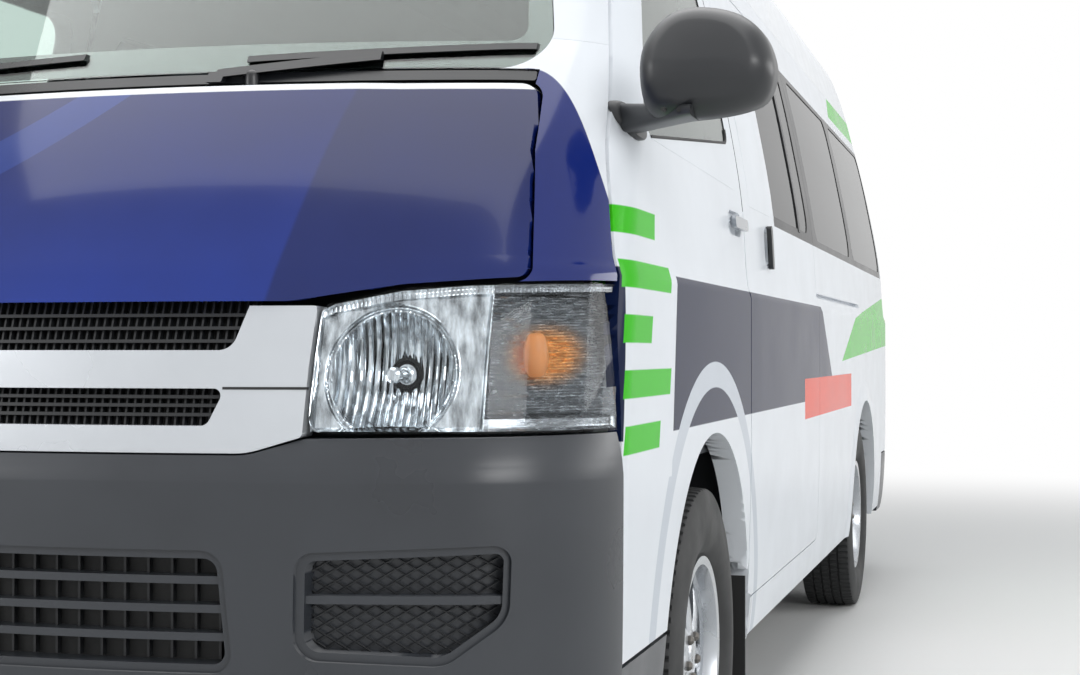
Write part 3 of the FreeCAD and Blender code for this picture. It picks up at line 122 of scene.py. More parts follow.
@dataclass(frozen=True)
class Finish:
    """A surface with a fine grain, a slow change of tone and its own gloss.

    Sizes are in millimetres: grain and depth of the fine relief, patch of the slow change, which a
    streak of more than 1 draws out in height.
    """

    name: str
    colour: str
    roughness: float = 0.5
    metallic: float = 0.0
    ior: float = 1.5
    coat: float = 0.0
    sheen: float = 0.0
    transmission: float = 0.0
    glow: float = 0.0
    grain: float = 2.0
    depth: float = 0.02
    mottle: float = 0.06
    patch: float = 220.0
    uneven: float = 0.06
    streak: float = 1.0

    def tint(self, tree: bpy.types.NodeTree, place: bpy.types.NodeSocket) -> Optional[bpy.types.NodeSocket]:
        """The painted colour before its slow change of tone, where it isn't the same all over."""
        return None

    def material(self) -> bpy.types.Material:
        """Build the material once, and give it again after that.

        Returns:
            The node material of this finish.
        """
        kept = bpy.data.materials.get(self.name)
        if kept is not None:
            return kept
        made = bpy.data.materials.new(self.name)
        made.use_nodes = True
        tree = made.node_tree
        tree.nodes.clear()
        place = add(tree, "TexCoord").outputs["Object"]
        drawn = add(tree, "VectorMath", {0: place, 1: (1.0, 1.0, 1 / self.streak)}, operation="MULTIPLY")
        slow = add(tree, "TexNoise", {"Vector": drawn, "Scale": 1000 / self.patch, "Detail": 4.0})
        shade = add(tree, "MapRange", NOISE | {"Value": slow, "To Min": 1 - self.mottle,
                                               "To Max": 1 + self.mottle})
        tone = add(tree, "HueSaturation", {"Color": self.tint(tree, place) or linear(self.colour),
                                           "Value": shade})
        smoothest = max(self.roughness - self.uneven, 0.0)
        gloss = add(tree, "MapRange", NOISE | {"Value": slow, "To Min": smoothest,
                                               "To Max": self.roughness + self.uneven})
        fine = add(tree, "TexNoise", {"Vector": place, "Scale": 1000 / self.grain, "Detail": 2.0})
        relief = add(tree, "Bump", {"Height": fine, "Strength": 1.0, "Distance": self.depth * MM})
        skin = add(tree, "BsdfPrincipled", {"Base Color": tone, "Roughness": gloss, "Normal": relief,
                                            "Metallic": self.metallic, "Coat Weight": self.coat,
                                            "Coat Roughness": COAT_ROUGHNESS, "Sheen Weight": self.sheen,
                                            "Transmission Weight": self.transmission})
        if self.metallic < METAL_FROM:
            skin.inputs["IOR"].default_value = self.ior
        if self.glow:
            skin.inputs["Emission Color"].default_value = linear(self.colour)
            skin.inputs["Emission Strength"].default_value = self.glow
        add(tree, "OutputMaterial", {"Surface": skin})
        return made


Point = dict[str, object]   # a point's x, |x| as "out", y and z, each as a node's output


@dataclass(frozen=True)
class Film:
    """A coloured film on the paint, by a value that says how far inside it a point lies.

    The share is how much of its own colour the film has, and a soft film fades smoothly.
    """

    colour: str
    share: float = field(default=1.0, kw_only=True)
    soft: bool = field(default=False, kw_only=True)

    def depth(self, tree: bpy.types.NodeTree, point: Point) -> tuple[bpy.types.Node, float, float]:
        """Work out the film's value.

        Args:
            tree: the material's tree.
            point: the point's coordinates.

        Returns:
            The value's node, and the values at which the film has none and all of its share.
        """
        raise NotImplementedError


@dataclass(frozen=True)
class Patch(Film):
    """A convex outline in the (Y, Z) plane, its corners in turn."""

    corners: tuple[tuple[float, float], ...]

    def depth(self, tree: bpy.types.NodeTree, point: Point) -> tuple[bpy.types.Node, float, float]:
        """The least of the point's distances inside every edge."""
        corners = np.array(self.corners)
        ahead = np.roll(corners, -1, axis=0) - corners
        normals = np.stack([-ahead[:, 1], ahead[:, 0]], 1) / np.linalg.norm(ahead, axis=1)[:, None]
        normals *= np.sign(((corners.mean(axis=0) - corners) * normals).sum(axis=1))[:, None]
        sides = []
        for (a, b), (y, z) in zip(normals, corners):
            along = add(tree, "Math", {0: point["y"], 1: a, 2: -a * y - b * z}, operation="MULTIPLY_ADD")
            sides.append(add(tree, "Math", {0: point["z"], 1: b, 2: along}, operation="MULTIPLY_ADD"))
        least = reduce(lambda one, other: add(tree, "Math", {0: one, 1: other}, operation="MINIMUM"), sides)
        return least, -MM, MM


@dataclass(frozen=True)
class Ring(Film):
    """A band about a circle in the plane of two coordinates, or a disc where the radius is 0."""

    middle: tuple[float, float]
    radius: float
    half: float
    edge: float = MM
    plane: tuple[str, str] = ("y", "z")

    def depth(self, tree: bpy.types.NodeTree, point: Point) -> tuple[bpy.types.Node, float, float]:
        """|distance from the middle - radius|, which is less than the half width inside."""
        place = add(tree, "CombineXYZ", {"X": point[self.plane[0]], "Y": point[self.plane[1]]})
        reach = add(tree, "VectorMath", {0: place, 1: (*self.middle, 0.0)}, operation="DISTANCE")
        off = add(tree, "Math", {0: reach.outputs["Value"], 1: self.radius}, operation="SUBTRACT")
        away = add(tree, "Math", {0: off}, operation="ABSOLUTE")
        return away, self.half + self.edge, self.half - self.edge


@dataclass(frozen=True)
class Slope(Film):
    """All that lies past a slanted line: |x| and z by their weights, between two values."""

    weights: tuple[float, float]
    low: float
    high: float

    def depth(self, tree: bpy.types.NodeTree, point: Point) -> tuple[bpy.types.Node, float, float]:
        """The weights' sum of |x| and z."""
        out = add(tree, "Math", {0: point["out"], 1: self.weights[0]}, operation="MULTIPLY")
        whole = add(tree, "Math", {0: point["z"], 1: self.weights[1], 2: out}, operation="MULTIPLY_ADD")
        return whole, self.low, self.high


@dataclass(frozen=True)
class Arc(Film):
    """All that lies below a falling parabola: z = peak height - fall * (|x| - peak place) squared."""

    peak: tuple[float, float]
    fall: float

    def depth(self, tree: bpy.types.NodeTree, point: Point) -> tuple[bpy.types.Node, float, float]:
        """z + fall * (|x| - peak place) squared, which is less than the peak height inside."""
        past = add(tree, "Math", {0: point["out"], 1: self.peak[0]}, operation="SUBTRACT")
        square = add(tree, "Math", {0: past, 1: 2.0}, operation="POWER")
        left = add(tree, "Math", {0: square, 1: self.fall, 2: point["z"]}, operation="MULTIPLY_ADD")
        return left, self.peak[1] + MM, self.peak[1] - MM


@dataclass(frozen=True)
class FilmedPaint(Finish):
    """A finish with coloured films laid on it, in turn, some of which are painted light and shade."""

    films: tuple[Film, ...] = ()

    def tint(self, tree: bpy.types.NodeTree, place: bpy.types.NodeSocket) -> bpy.types.NodeSocket:
        """Lay the films over the finish's own colour.

        Args:
            tree: the material's tree.
            place: the point on the object.

        Returns:
            The colour of paint and films together.
        """
        axes = add(tree, "SeparateXYZ", {"Vector": place})
        point = {name: axes.outputs[name.upper()] for name in ("x", "y", "z")}
        point["out"] = add(tree, "Math", {0: axes}, operation="ABSOLUTE")
        colour: object = linear(self.colour)
        for film in self.films:
            value, none, whole = film.depth(tree, point)
            share = add(tree, "MapRange", {"Value": value, "From Min": none, "From Max": whole,
                                           "To Max": film.share},
                        interpolation_type="SMOOTHSTEP" if film.soft else "LINEAR")
            mixed = add(tree, "Mix", {"Factor": share, "A": colour, "B": linear(film.colour)},
                        data_type="RGBA")
            colour = mixed.outputs["Result"]
        return colour


WHITE = "DDE1E6"
NAVY = "0F1A3A"
GREEN = "3DBB1C"


def bars(rows: Iterable[tuple[float, float, float]], height: float, lean: float) -> tuple[Patch, ...]:
    """Plain leaning bars, one film each.

    Args:
        rows: the front end, rear end and middle height of each bar.
        height: a bar's height.
        lean: how far a bar's top stands back from its bottom.

    Returns:
        The bars as films.
    """
    half = height / 2
    return tuple(Patch(GREEN, ((a, z - half), (b, z - half), (b + lean, z + half), (a + lean, z + half)))
                 for a, b, z in rows)


# Gloss enamel over pressed steel, its films still saturated where the side is seen at a grazing angle.
SIDE_FILMS_AND_ARCH_HIGHLIGHT = (
    Patch(NAVY, ((-2.40, 0.825), (0.59, 0.825), (0.24, 1.105), (-2.40, 1.105))),
    # Painted highlight: a pale grey ring round the front arch, where the flare's lip catches the light.
    Ring("C4CAD2", (-1.55, 0.35), 0.571, 0.026),
    Patch(WHITE, ((-2.345, 0.745), (-1.975, 0.745), (-1.905, 1.235), (-2.275, 1.235))),
    *bars(((-2.30, -2.06, 1.185), (-2.31, -1.98, 1.095), (-2.32, -2.14, 1.005), (-2.33, -1.99, 0.915),
           (-2.335, -2.08, 0.825)), 0.046, 0.012),
    Patch("E2472B", ((-0.157, 0.775), (1.10, 0.775), (1.10, 0.890), (-0.157, 0.890))),
    Patch(GREEN, ((0.80, 0.935), (2.75, 1.00), (2.75, 1.22), (1.25, 1.09))),
    Patch(GREEN, ((1.55, 1.87), (2.75, 1.87), (2.75, 2.12), (1.90, 2.12))),
    Patch("101215", ((-0.606, 1.292), (2.475, 1.284), (2.475, 1.828), (-0.606, 1.828))),
)
SIDE_PAINT = FilmedPaint("white_gloss_enamel_with_films", WHITE, 0.17, ior=1.10, grain=4.0, depth=0.006,
                         mottle=0.02, uneven=0.03, films=SIDE_FILMS_AND_ARCH_HIGHLIGHT)
# The same enamel on the roof and pillars, duller from weather and washing.
ROOF_PAINT = Finish("white_gloss_enamel", WHITE, 0.22, ior=1.3, coat=0.1, grain=5.0, depth=0.01, mottle=0.03,
                    uneven=0.05)
# Calendered blue vinyl over white enamel: a deep blue that holds its colour, with soft upright lights.
CORNER_PAINT = FilmedPaint("white_enamel_with_blue_film", WHITE, 0.12, ior=1.38, coat=0.2, grain=4.0,
                           depth=0.006, mottle=0.05, uneven=0.03,
                           films=(Arc("14256B", (0.76, 1.439), 11.4),))
# Cast vinyl wrapped over the hood, glossy and slightly rippled: royal blue towards its bottom, crossed
# by a pale arc, with painted shade outside the crease where the hood falls away, and the white paint
# left bare along its top edge.
HOOD_PAINT = FilmedPaint("blue_cast_vinyl_film", "101F5E", 0.13, ior=1.36, coat=0.2, grain=5.0, depth=0.012,
                         mottle=0.08, uneven=0.04,
                         films=(Slope("1C3C9E", (0.0, 1.0), 1.36, 1.05, share=0.55),
                                Ring("3558B4", (-0.55, 2.10), 0.93, 0.033, plane=("x", "z"), share=0.3),
                                # Painted shade: darker outside the crease, where the hood falls away.
                                Slope("0B1542", (1.0, -0.1714), 0.256, 0.262, share=0.6),
                                Slope("E9ECEF", (0.0, 1.0), 1.3985, 1.4)))
# Silver-white base coat on an injection-moulded grille: brighter than the body where it faces the light.
SILVER_PAINT = Finish("silver_base_coat", "C9CDD2", 0.24, metallic=0.35, coat=0.9, grain=0.9, depth=0.004,
                      mottle=0.03)
# Polypropylene moulded against an etched tool: charcoal, with a dry grain and a broad soft sheen.
CHARCOAL = Finish("charcoal_grained_polypropylene", "34373C", 0.33, grain=1.4, depth=0.045, mottle=0.08,
                  uneven=0.08)
# Satin black mouldings: a soft dark sheen that shows their form without a mirror image.
SATIN_BLACK = Finish("satin_black_abs", "16181B", 0.33, grain=1.6, depth=0.02, mottle=0.08)
# Unpainted mirror shells: a broad satin highlight over a dark grey.
MIRROR_SHELL = Finish("dark_satin_abs", "26282B", 0.38, grain=1.2, depth=0.02, mottle=0.06)
# Matt slats and meshes: nearly black, so that the openings read as deep.
SLAT_BLACK = Finish("matt_black_polypropylene", "191B1E", 0.5, grain=1.6, depth=0.03)
# Door and glass seals: dry black, with hardly any gloss. The same black also makes the sheets
# behind the grille's slots and the intake, which are painted shade.
SEAL_AND_SHADE_BLACK = Finish("epdm_rubber_seal", "0E0F10", 0.62, grain=0.8, depth=0.03)
# Moulded lamp cover: water-clear, faintly wavy, and coated so that it hides little of the bowl.
CLEAR_LENS = Finish("clear_polycarbonate_lens", "F6F9FB", 0.03, ior=1.18, transmission=1.0, mottle=0.0,
                    uneven=0.02, grain=6.0, depth=0.004)
# Laminated screen: clear with the green tinge of its edge.
WINDSCREEN = Finish("clear_laminated_glass", "DDEBE6", 0.02, ior=1.45, transmission=1.0, mottle=0.0,
                    uneven=0.01, grain=30.0, depth=0.004)
# Tempered door glass: as clear as the screen, a little greener.
CLEAR_GLASS = Finish("tempered_clear_glass", "D6E4DE", 0.02, ior=1.2, transmission=1.0, mottle=0.0,
                     uneven=0.01, grain=30.0, depth=0.004)
# Body-tinted glass of the cabin: dark grey, with the seats just visible.
PRIVACY_GLASS = Finish("privacy_tinted_glass", "2A3033", 0.03, ior=1.12, transmission=0.85, mottle=0.0,
                       uneven=0.02, grain=30.0, depth=0.004)
# Vapour-coated bowls: a bright mirror with upright light and dark streaks, partly real reflections from their
# flutes and partly painted reflections from the strong upright mottle in its colour.
REFLECTOR = Finish("vapour_coated_aluminium", "C4C8CB", 0.08, metallic=1.0, grain=8.0, depth=0.03,
                   mottle=0.62, uneven=0.05, patch=14.0, streak=5.0)
# The indicator's pocket: a softer coating whose level ribs break the light, with level light and dark bands
# also painted into its colour, and a painted warm glow round the bulb.
POCKET = FilmedPaint("ribbed_vapour_coating", "8D9093", 0.24, metallic=0.85, grain=4.0, depth=0.03,
                     mottle=0.4, patch=12.0, streak=0.25,
                     # Painted reflection: a soft warm disc round the amber bulb.
                     films=(Ring("E3AC72", (0.835, 0.962), 0.0, 0.116 / 3, 0.058 / 3, plane=("out", "z"),
                                 soft=True),))
# Mirror glass: a plain clean mirror.
MIRROR_GLASS = Finish("silvered_mirror_glass", "D4D8DA", 0.02, metallic=1.0, grain=30.0, depth=0.002,
                      mottle=0.01, uneven=0.01)
# Bright plate on bulb shields and posts: the sharpest lights on the vehicle.
CHROME = Finish("bright_chrome_plate", "D8DBDE", 0.09, metallic=1.0, grain=6.0, depth=0.01, mottle=0.02,
                uneven=0.04)
# Silver paint on a cast grip: metallic, softer than chrome.
HANDLE_SILVER = Finish("silver_painted_zinc", "8B9096", 0.28, metallic=0.7, coat=0.5, grain=1.0, depth=0.008)
# Amber bulb glass, with a faint painted glow from its emission behind the ribs.
AMBER = Finish("amber_glass_bulb", "E2A060", 0.3, transmission=0.5, glow=0.12)
# Acrylic tail lamps: deep red and glossy, with an amber zone and a clear one below it.
RED_LENS = FilmedPaint("red_acrylic_lens", "A8121A", 0.08, ior=1.3, transmission=0.2, coat=0.2, mottle=0.05,
                       films=(Patch("D8761A", ((2.2, 1.10), (2.8, 1.10), (2.8, 1.18), (2.2, 1.18))),
                              Patch("D9DCDE", ((2.2, 1.02), (2.8, 1.02), (2.8, 1.10), (2.2, 1.10)))))
# Tyre rubber: dark brownish grey, dry, and uneven from wear and dust.
TYRE_RUBBER = Finish("carbon_black_tyre_rubber", "1B1C1D", 0.66, grain=1.8, depth=0.08, mottle=0.14,
                     patch=90.0, uneven=0.1)
# Silver lacquer on the wheel: fine metallic sparkle under clear gloss.
ALLOY = Finish("silver_lacquered_alloy", "B5B9BE", 0.27, metallic=0.75, coat=0.6, grain=0.8, depth=0.006,
               mottle=0.05)
# Brake disc: turned iron, dull and a little brown.
DISC_STEEL = Finish("turned_grey_iron", "6D6A66", 0.4, metallic=0.9, grain=0.9, depth=0.03, mottle=0.15)
# Wax over the underbody: near black and lumpy.
UNDERBODY = Finish("black_chassis_wax", "1D1E20", 0.6, grain=6.0, depth=0.25, mottle=0.2, uneven=0.15)
# Sand castings: coarse dark grey.
CAST_IRON = Finish("sand_cast_iron", "3A3836", 0.7, metallic=0.4, grain=1.6, depth=0.2, mottle=0.2)
# Moulded lining: pale dry grey, which lightens the cabin behind the glass.
TRIM_GREY = Finish("grey_moulded_trim", "8A8C8E", 0.6, grain=1.8, depth=0.06, mottle=0.05)
# Dashboard skin: dark with a leather-like grain and no glare.
TRIM_DARK = Finish("dark_grained_dash_moulding", "3B3D41", 0.58, grain=1.8, depth=0.08, mottle=0.06)
# Cabin floor: dull dark grey with scuffs.
FLOOR_VINYL = Finish("ribbed_vinyl_floor", "3F4246", 0.6, grain=3.0, depth=0.1, mottle=0.12)
# Seat moquette: a cut pile that lightens at its edges.
SEAT_CLOTH = Finish("woven_moquette", "3C4658", 0.85, sheen=0.5, grain=2.6, depth=0.35, mottle=0.12,
                    patch=40.0)
# Fired border on the screen: pure black behind gloss.
BORDER_BLACK = Finish("black_ceramic_frit", "0B0C0D", 0.1, coat=0.6, mottle=0.05)


# The body's surface

BODY_ROWS = (
    (222, 45, 53, 2600, 280, 25, 150), (330, 18, 20, 2600, 280, 5, 150), (490, 6, 8, 2600, 280, 0, 150),
    (800, 0, 16, 2600, 280, 27, 140), (940, 0, 40, 2600, 280, 35, 134), (1090, 0, 88, 2600, 280, 45, 130),
    (1118, 8, 102, 2600, 280, 48, 130), (1290, 20, 196, 2520, 272, 58, 130),
    (1600, 72, 446, 2387, 258, 87, 130), (1925, 148, 744, 2190, 250, 135, 130),
    (2060, 184, 860, 2000, 260, 170, 150), (2140, 214, 935, 1880, 270, 200, 165),
    (2200, 254, 1010, 1750, 280, 238, 180), (2242, 310, 1090, 1650, 290, 285, 185),
    (2270, 395, 1190, 1550, 300, 345, 180), (2285, 520, 1360, 1400, 300, 430, 160),
)
BUMPER_ROWS = (
    (222, 42, 42, 2600, 280, 400, 150), (330, 12, 8, 2600, 280, 400, 150), (490, -3, 0, 2600, 280, 400, 150),
    (770, -5, 0, 2600, 280, 400, 150), (800, -4, 9, 2600, 280, 400, 150), (855, 3, 36, 2600, 280, 400, 150),
)


@dataclass(frozen=True)
class BodySurface:
    """The outer skin as horizontal sections: a bow across the nose, a round corner, a side and a tail.

    Each row is a height and the section's side inset, nose setback, bow radius, corner radius, tail
    setback and tail radius, in millimetres. The frame joins the rows by straight rulings, and the
    smooth surface joins them by monotone cubics through the same rows.
    """

    rows: tuple[tuple[float, ...], ...]

    @cached_property
    def table(self) -> np.ndarray:
        """The rows in metres."""
        return np.array(self.rows, float) * MM

    @cached_property
    def slopes(self) -> np.ndarray:
        """Each column's slope at each row: the weighted harmonic mean of its neighbours' slopes."""
        height = np.diff(self.table[:, 0])[:, None]
        rise = np.diff(self.table[:, 1:], axis=0) / height
        first, second = 2 * height[1:] + height[:-1], height[1:] + 2 * height[:-1]
        with np.errstate(divide="ignore", invalid="ignore"):
            mean = (first + second) / (first / rise[:-1] + second / rise[1:])
        inner = np.where(rise[1:] * rise[:-1] > 0, mean, 0.0)
        return np.vstack([rise[:1], inner, rise[-1:]])

    def values(self, z: np.ndarray, smooth: bool) -> np.ndarray:
        """The section's values at given heights, by cubic Hermite or straight steps between rows.

        Args:
            z: heights.
            smooth: whether the cubic is used.

        Returns:
            One row of six values for each height.
        """
        t = self.table
        row = np.clip(np.searchsorted(t[:, 0], z, side="right") - 1, 0, len(t) - 2)
        gap = (t[row + 1, 0] - t[row, 0])[:, None]
        s = np.clip((z - t[row, 0])[:, None] / gap, 0.0, 1.0)
        low, high = t[row, 1:], t[row + 1, 1:]
        if not smooth:
            return low + s * (high - low)
        turn = gap * (s * (1 - s) ** 2 * self.slopes[row] + s ** 2 * (s - 1) * self.slopes[row + 1])
        return (1 + 2 * s) * (1 - s) ** 2 * low + s ** 2 * (3 - 2 * s) * high + turn

    def offset(self, p: np.ndarray, smooth: bool = True) -> tuple[np.ndarray, np.ndarray]:
        """Signed horizontal distance from the skin, positive outside.

        It is the distance to the bow's, corner's or rear corner's centre less its radius, and else
        the distance to the nearer of the flat side and the tail.

        Args:
            p: points as rows.
            smooth: whether the smooth surface is meant.

        Returns:
            The distances, and the horizontal unit normals.
        """
        x, y = np.abs(p[:, 0]), p[:, 1]
        inset, nose, bow, corner, tail, tail_r = self.values(p[:, 2], smooth).T
        half, nose, tail = HALF_WIDTH - inset, nose - HALF_LENGTH, HALF_LENGTH - tail
        cx = half - corner
        cy = nose + bow - np.sqrt((bow - corner) ** 2 - cx ** 2)
        beside = x - half > y - tail
        out = np.where(beside, x - half, y - tail)
        normal = np.stack([beside, ~beside], 1).astype(float)
        arcs = (
            ((x > half - tail_r) & (y > tail - tail_r), half - tail_r, tail - tail_r, tail_r),
            ((x > cx) & (y < cy), cx, cy, corner),
            ((np.arctan2(x, nose + bow - y) < np.arctan2(cx, nose + bow - cy)) & (y < cy + 0.3),
             np.zeros_like(x), nose + bow, bow),
        )
        for where, ax, ay, radius in arcs:
            away = np.stack([x - ax, y - ay], 1)[where]
            reach = np.maximum(np.hypot(away[:, 0], away[:, 1]), 1e-9)
            out[where] = reach - radius[where]
            normal[where] = away / reach[:, None]
        normal[:, 0] *= np.where(p[:, 0] < 0, -1.0, 1.0)
        return out, normal

    def normal(self, p: np.ndarray) -> np.ndarray:
        """Unit normals: the gradient of the distance, with its slope in z by a central difference.

        Args:
            p: points as rows.

        Returns:
            One normal a point.
        """
        step = np.array([0.0, 0.0, MM])
        flat = self.offset(p)[1]
        rise = (self.offset(p + step)[0] - self.offset(p - step)[0]) / (2 * MM)
        whole = np.concatenate([flat, rise[:, None]], 1)
        return whole / np.linalg.norm(whole, axis=1)[:, None]

    def smoothed(self, p: np.ndarray) -> np.ndarray:
        """Move points of the ruled frame onto the smooth surface, each by the two distances' difference.

        Args:
            p: points as rows.

        Returns:
            The moved points.
        """
        bent, normal = self.offset(p)
        straight = self.offset(p, smooth=False)[0]
        moved = p.copy()
        moved[:, :2] -= normal * (bent - straight)[:, None]
        return moved

    def at_front(self, x: np.ndarray, z: np.ndarray, depth: float = 0.0) -> np.ndarray:
        """Points of the nose over (x, z), by Newton steps of y along the distance.

        Args:
            x: places across.
            z: heights.
            depth: how far inside the skin.

        Returns:
            The points, in the shape of x and z with a last axis of 3.
        """
        p = np.stack([x.ravel(), np.full(x.size, -2.5), z.ravel()], 1)
        for _ in range(12):
            out, normal = self.offset(p)
            p[:, 1] -= (out + depth) / np.minimum(normal[:, 1], -0.2)
        return p.reshape(*x.shape, 3)

    def at_side(self, y: np.ndarray, z: np.ndarray, side: Side, depth: float = 0.0) -> np.ndarray:
        """Points of one side over (y, z), by Newton steps of x along the distance.

        Args:
            y: places along.
            z: heights.
            side: which side.
            depth: how far inside the skin.

        Returns:
            The points, in the shape of y and z with a last axis of 3.
        """
        p = np.stack([np.full(y.size, 0.9), y.ravel(), z.ravel()], 1)
        for _ in range(12):
            out, normal = self.offset(p)
            p[:, 0] -= (out + depth) / np.maximum(normal[:, 0], 0.2)
        p[:, 0] *= side.value
        return p.reshape(*y.shape, 3)


BODY = BodySurface(BODY_ROWS)
BUMPER = BodySurface(BUMPER_ROWS)


# Meshes

Test = Callable[[np.ndarray, np.ndarray, np.ndarray], np.ndarray]
WELD = 2e-5          # points of the frame nearer than this are one
SEAM = 0.5 * MM      # how near a panel's inner joint a point lies on it
SEAM_WELD = 0.35 * MM
LEVEL = 0.99         # a face whose normal's part along an axis is more looks along that axis
ON_SKIN = 0.9        # a face whose normal is nearer to the skin's than this lies on it
CORNER_STEP = 0.02   # how far a corner moves into its face before its normal is taken
PANEL_SKIN = 0.012   # points less deep than this belong to a lid's outer face
WINDOW_LOW = 1.28
WINDOW_HIGH = 1.84
EDGE_ON = 0.4        # a face whose normal is further from the skin's than this stands on edge
LINING_DEPTH = 0.035


def piece(name: str, verts: np.ndarray, faces: Sequence, finishes: Sequence[Finish],
          sharp: float = 35.0) -> bpy.types.Object:
    """Make an object from arrays, with smooth faces and sharp edges past an angle.

    Args:
        name: the piece's name.
        verts: points as rows.
        faces: corner numbers of each face.
        finishes: its finishes, the first one all over.
        sharp: the angle in degrees past which an edge is sharp.

    Returns:
        The new object, linked to the scene.
    """
    mesh = bpy.data.meshes.new(name)
    mesh.from_pydata(np.asarray(verts, float).reshape(-1, 3).tolist(), [], [list(f) for f in faces])
    mesh.shade_smooth()
    mesh.set_sharp_from_angle(angle=math.radians(sharp))
    for finish in finishes:
        mesh.materials.append(finish.material())
    made = bpy.data.objects.new(name, mesh)
    bpy.context.scene.collection.objects.link(made)
    return made


def quads(rows: int, columns: int, round_rows: bool = False, round_columns: bool = False,
          start: int = 0) -> np.ndarray:
    """Faces of a grid of points, numbered row by row.

    Args:
        rows: how many rows of points.
        columns: how many points a row.
        round_rows: whether the last row meets the first.
        round_columns: whether each row's end meets its start.
        start: the first point's number.

    Returns:
        Four corner numbers a face.
    """
    i = np.arange(rows if round_rows else rows - 1)[:, None]
    j = np.arange(columns if round_columns else columns - 1)[None, :]
    down, right = (i + 1) % rows, (j + 1) % columns
    corners = [i * columns + j, i * columns + right, down * columns + right, down * columns + j]
    return np.stack(np.broadcast_arrays(*corners), -1).reshape(-1, 4) + start


class Bundle:
    """Points and faces of several closed forms, gathered for one piece."""

    def __init__(self) -> None:
        """Start with no points."""
        self.verts: list[np.ndarray] = []
        self.faces: list[Sequence] = []
        self.marks: list[int] = []
        self.count = 0

    def grid(self, points: np.ndarray, round_rows: bool = False, round_columns: bool = False,
             caps: bool = False, mark: int = 0) -> None:
        """Add a grid of points, with flat caps on its first and last rows if asked.

        Args:
            points: rows by columns by 3.
            round_rows: whether the last row meets the first.
            round_columns: whether each row closes.
            caps: whether the end rows are closed by one face each.
            mark: the number of the material.
        """
        rows, columns = points.shape[:2]
        self.verts.append(points.reshape(-1, 3))
        new = [list(f) for f in quads(rows, columns, round_rows, round_columns, self.count)]
        if caps:
            new.append([self.count + k for k in range(columns)][::-1])
            new.append([self.count + (rows - 1) * columns + k for k in range(columns)])
        self.faces.extend(new)
        self.marks.extend([mark] * len(new))
        self.count += rows * columns

    def object(self, name: str, finishes: Sequence[Finish], sharp: float = 35.0) -> bpy.types.Object:
        """Make the piece, with its faces turned outwards.

        Args:
            name: the piece's name.
            finishes: the finishes that the marks number.
            sharp: the angle in degrees past which an edge is sharp.

        Returns:
            The new object.
        """
        made = piece(name, np.concatenate(self.verts), self.faces, finishes, sharp)
        made.data.polygons.foreach_set("material_index", self.marks)
        work = bmesh.new()
        work.from_mesh(made.data)
        bmesh.ops.remove_doubles(work, verts=work.verts[:], dist=1e-6)
        bmesh.ops.recalc_face_normals(work, faces=work.faces[:])
        work.to_mesh(made.data)
        work.free()
        return made


def read(items: bpy.types.bpy_prop_collection, name: str, width: int = 3, kind: type = float) -> np.ndarray:
    """Read one attribute of all items of a mesh.

    Args:
        items: its vertices, loops, polygons or corner normals.
        name: the attribute.
        width: how many numbers an item has.
        kind: the numbers' type.

    Returns:
        One row an item, or a plain list of numbers for a width of 1.
    """
    flat = np.zeros(len(items) * width, kind)
    items.foreach_get(name, flat)
    return flat.reshape(-1, width) if width > 1 else flat


def loop_normals(mesh: bpy.types.Mesh, surface: BodySurface, relief: Optional[Callable]) -> None:
    """Give faces that follow the skin its exact normals, and the others their own.

    A relief h changes the normal n to n - (grad h less its part along n).

    Args:
        mesh: the mesh, already in place.
        surface: the skin that it follows.
        relief: how far points stand proud of the skin, if they do.
    """
    mesh.shade_smooth()
    mesh.set_sharp_from_angle(angle=math.radians(30))
    sizes = read(mesh.polygons, "loop_total", 1, np.int32)
    owner = np.repeat(np.arange(len(sizes)), sizes)
    p = read(mesh.vertices, "co")[read(mesh.loops, "vertex_index", 1, np.int32)]
    p += CORNER_STEP * (read(mesh.polygons, "center")[owner] - p)
    exact = surface.normal(p)
    if relief is not None:
        slope = np.stack([(relief(p + step) - relief(p - step)) / MM
                          for step in np.eye(3) * MM / 2], 1)
        exact = exact - slope + exact * (slope * exact).sum(1)[:, None]
        exact /= np.linalg.norm(exact, axis=1)[:, None]
    facing = (read(mesh.polygons, "normal")[owner] * exact).sum(1)
    chosen = np.where((np.abs(facing) > ON_SKIN)[:, None], np.sign(facing)[:, None] * exact,
                      read(mesh.corner_normals, "vector"))
    mesh.normals_split_custom_set(chosen.tolist())


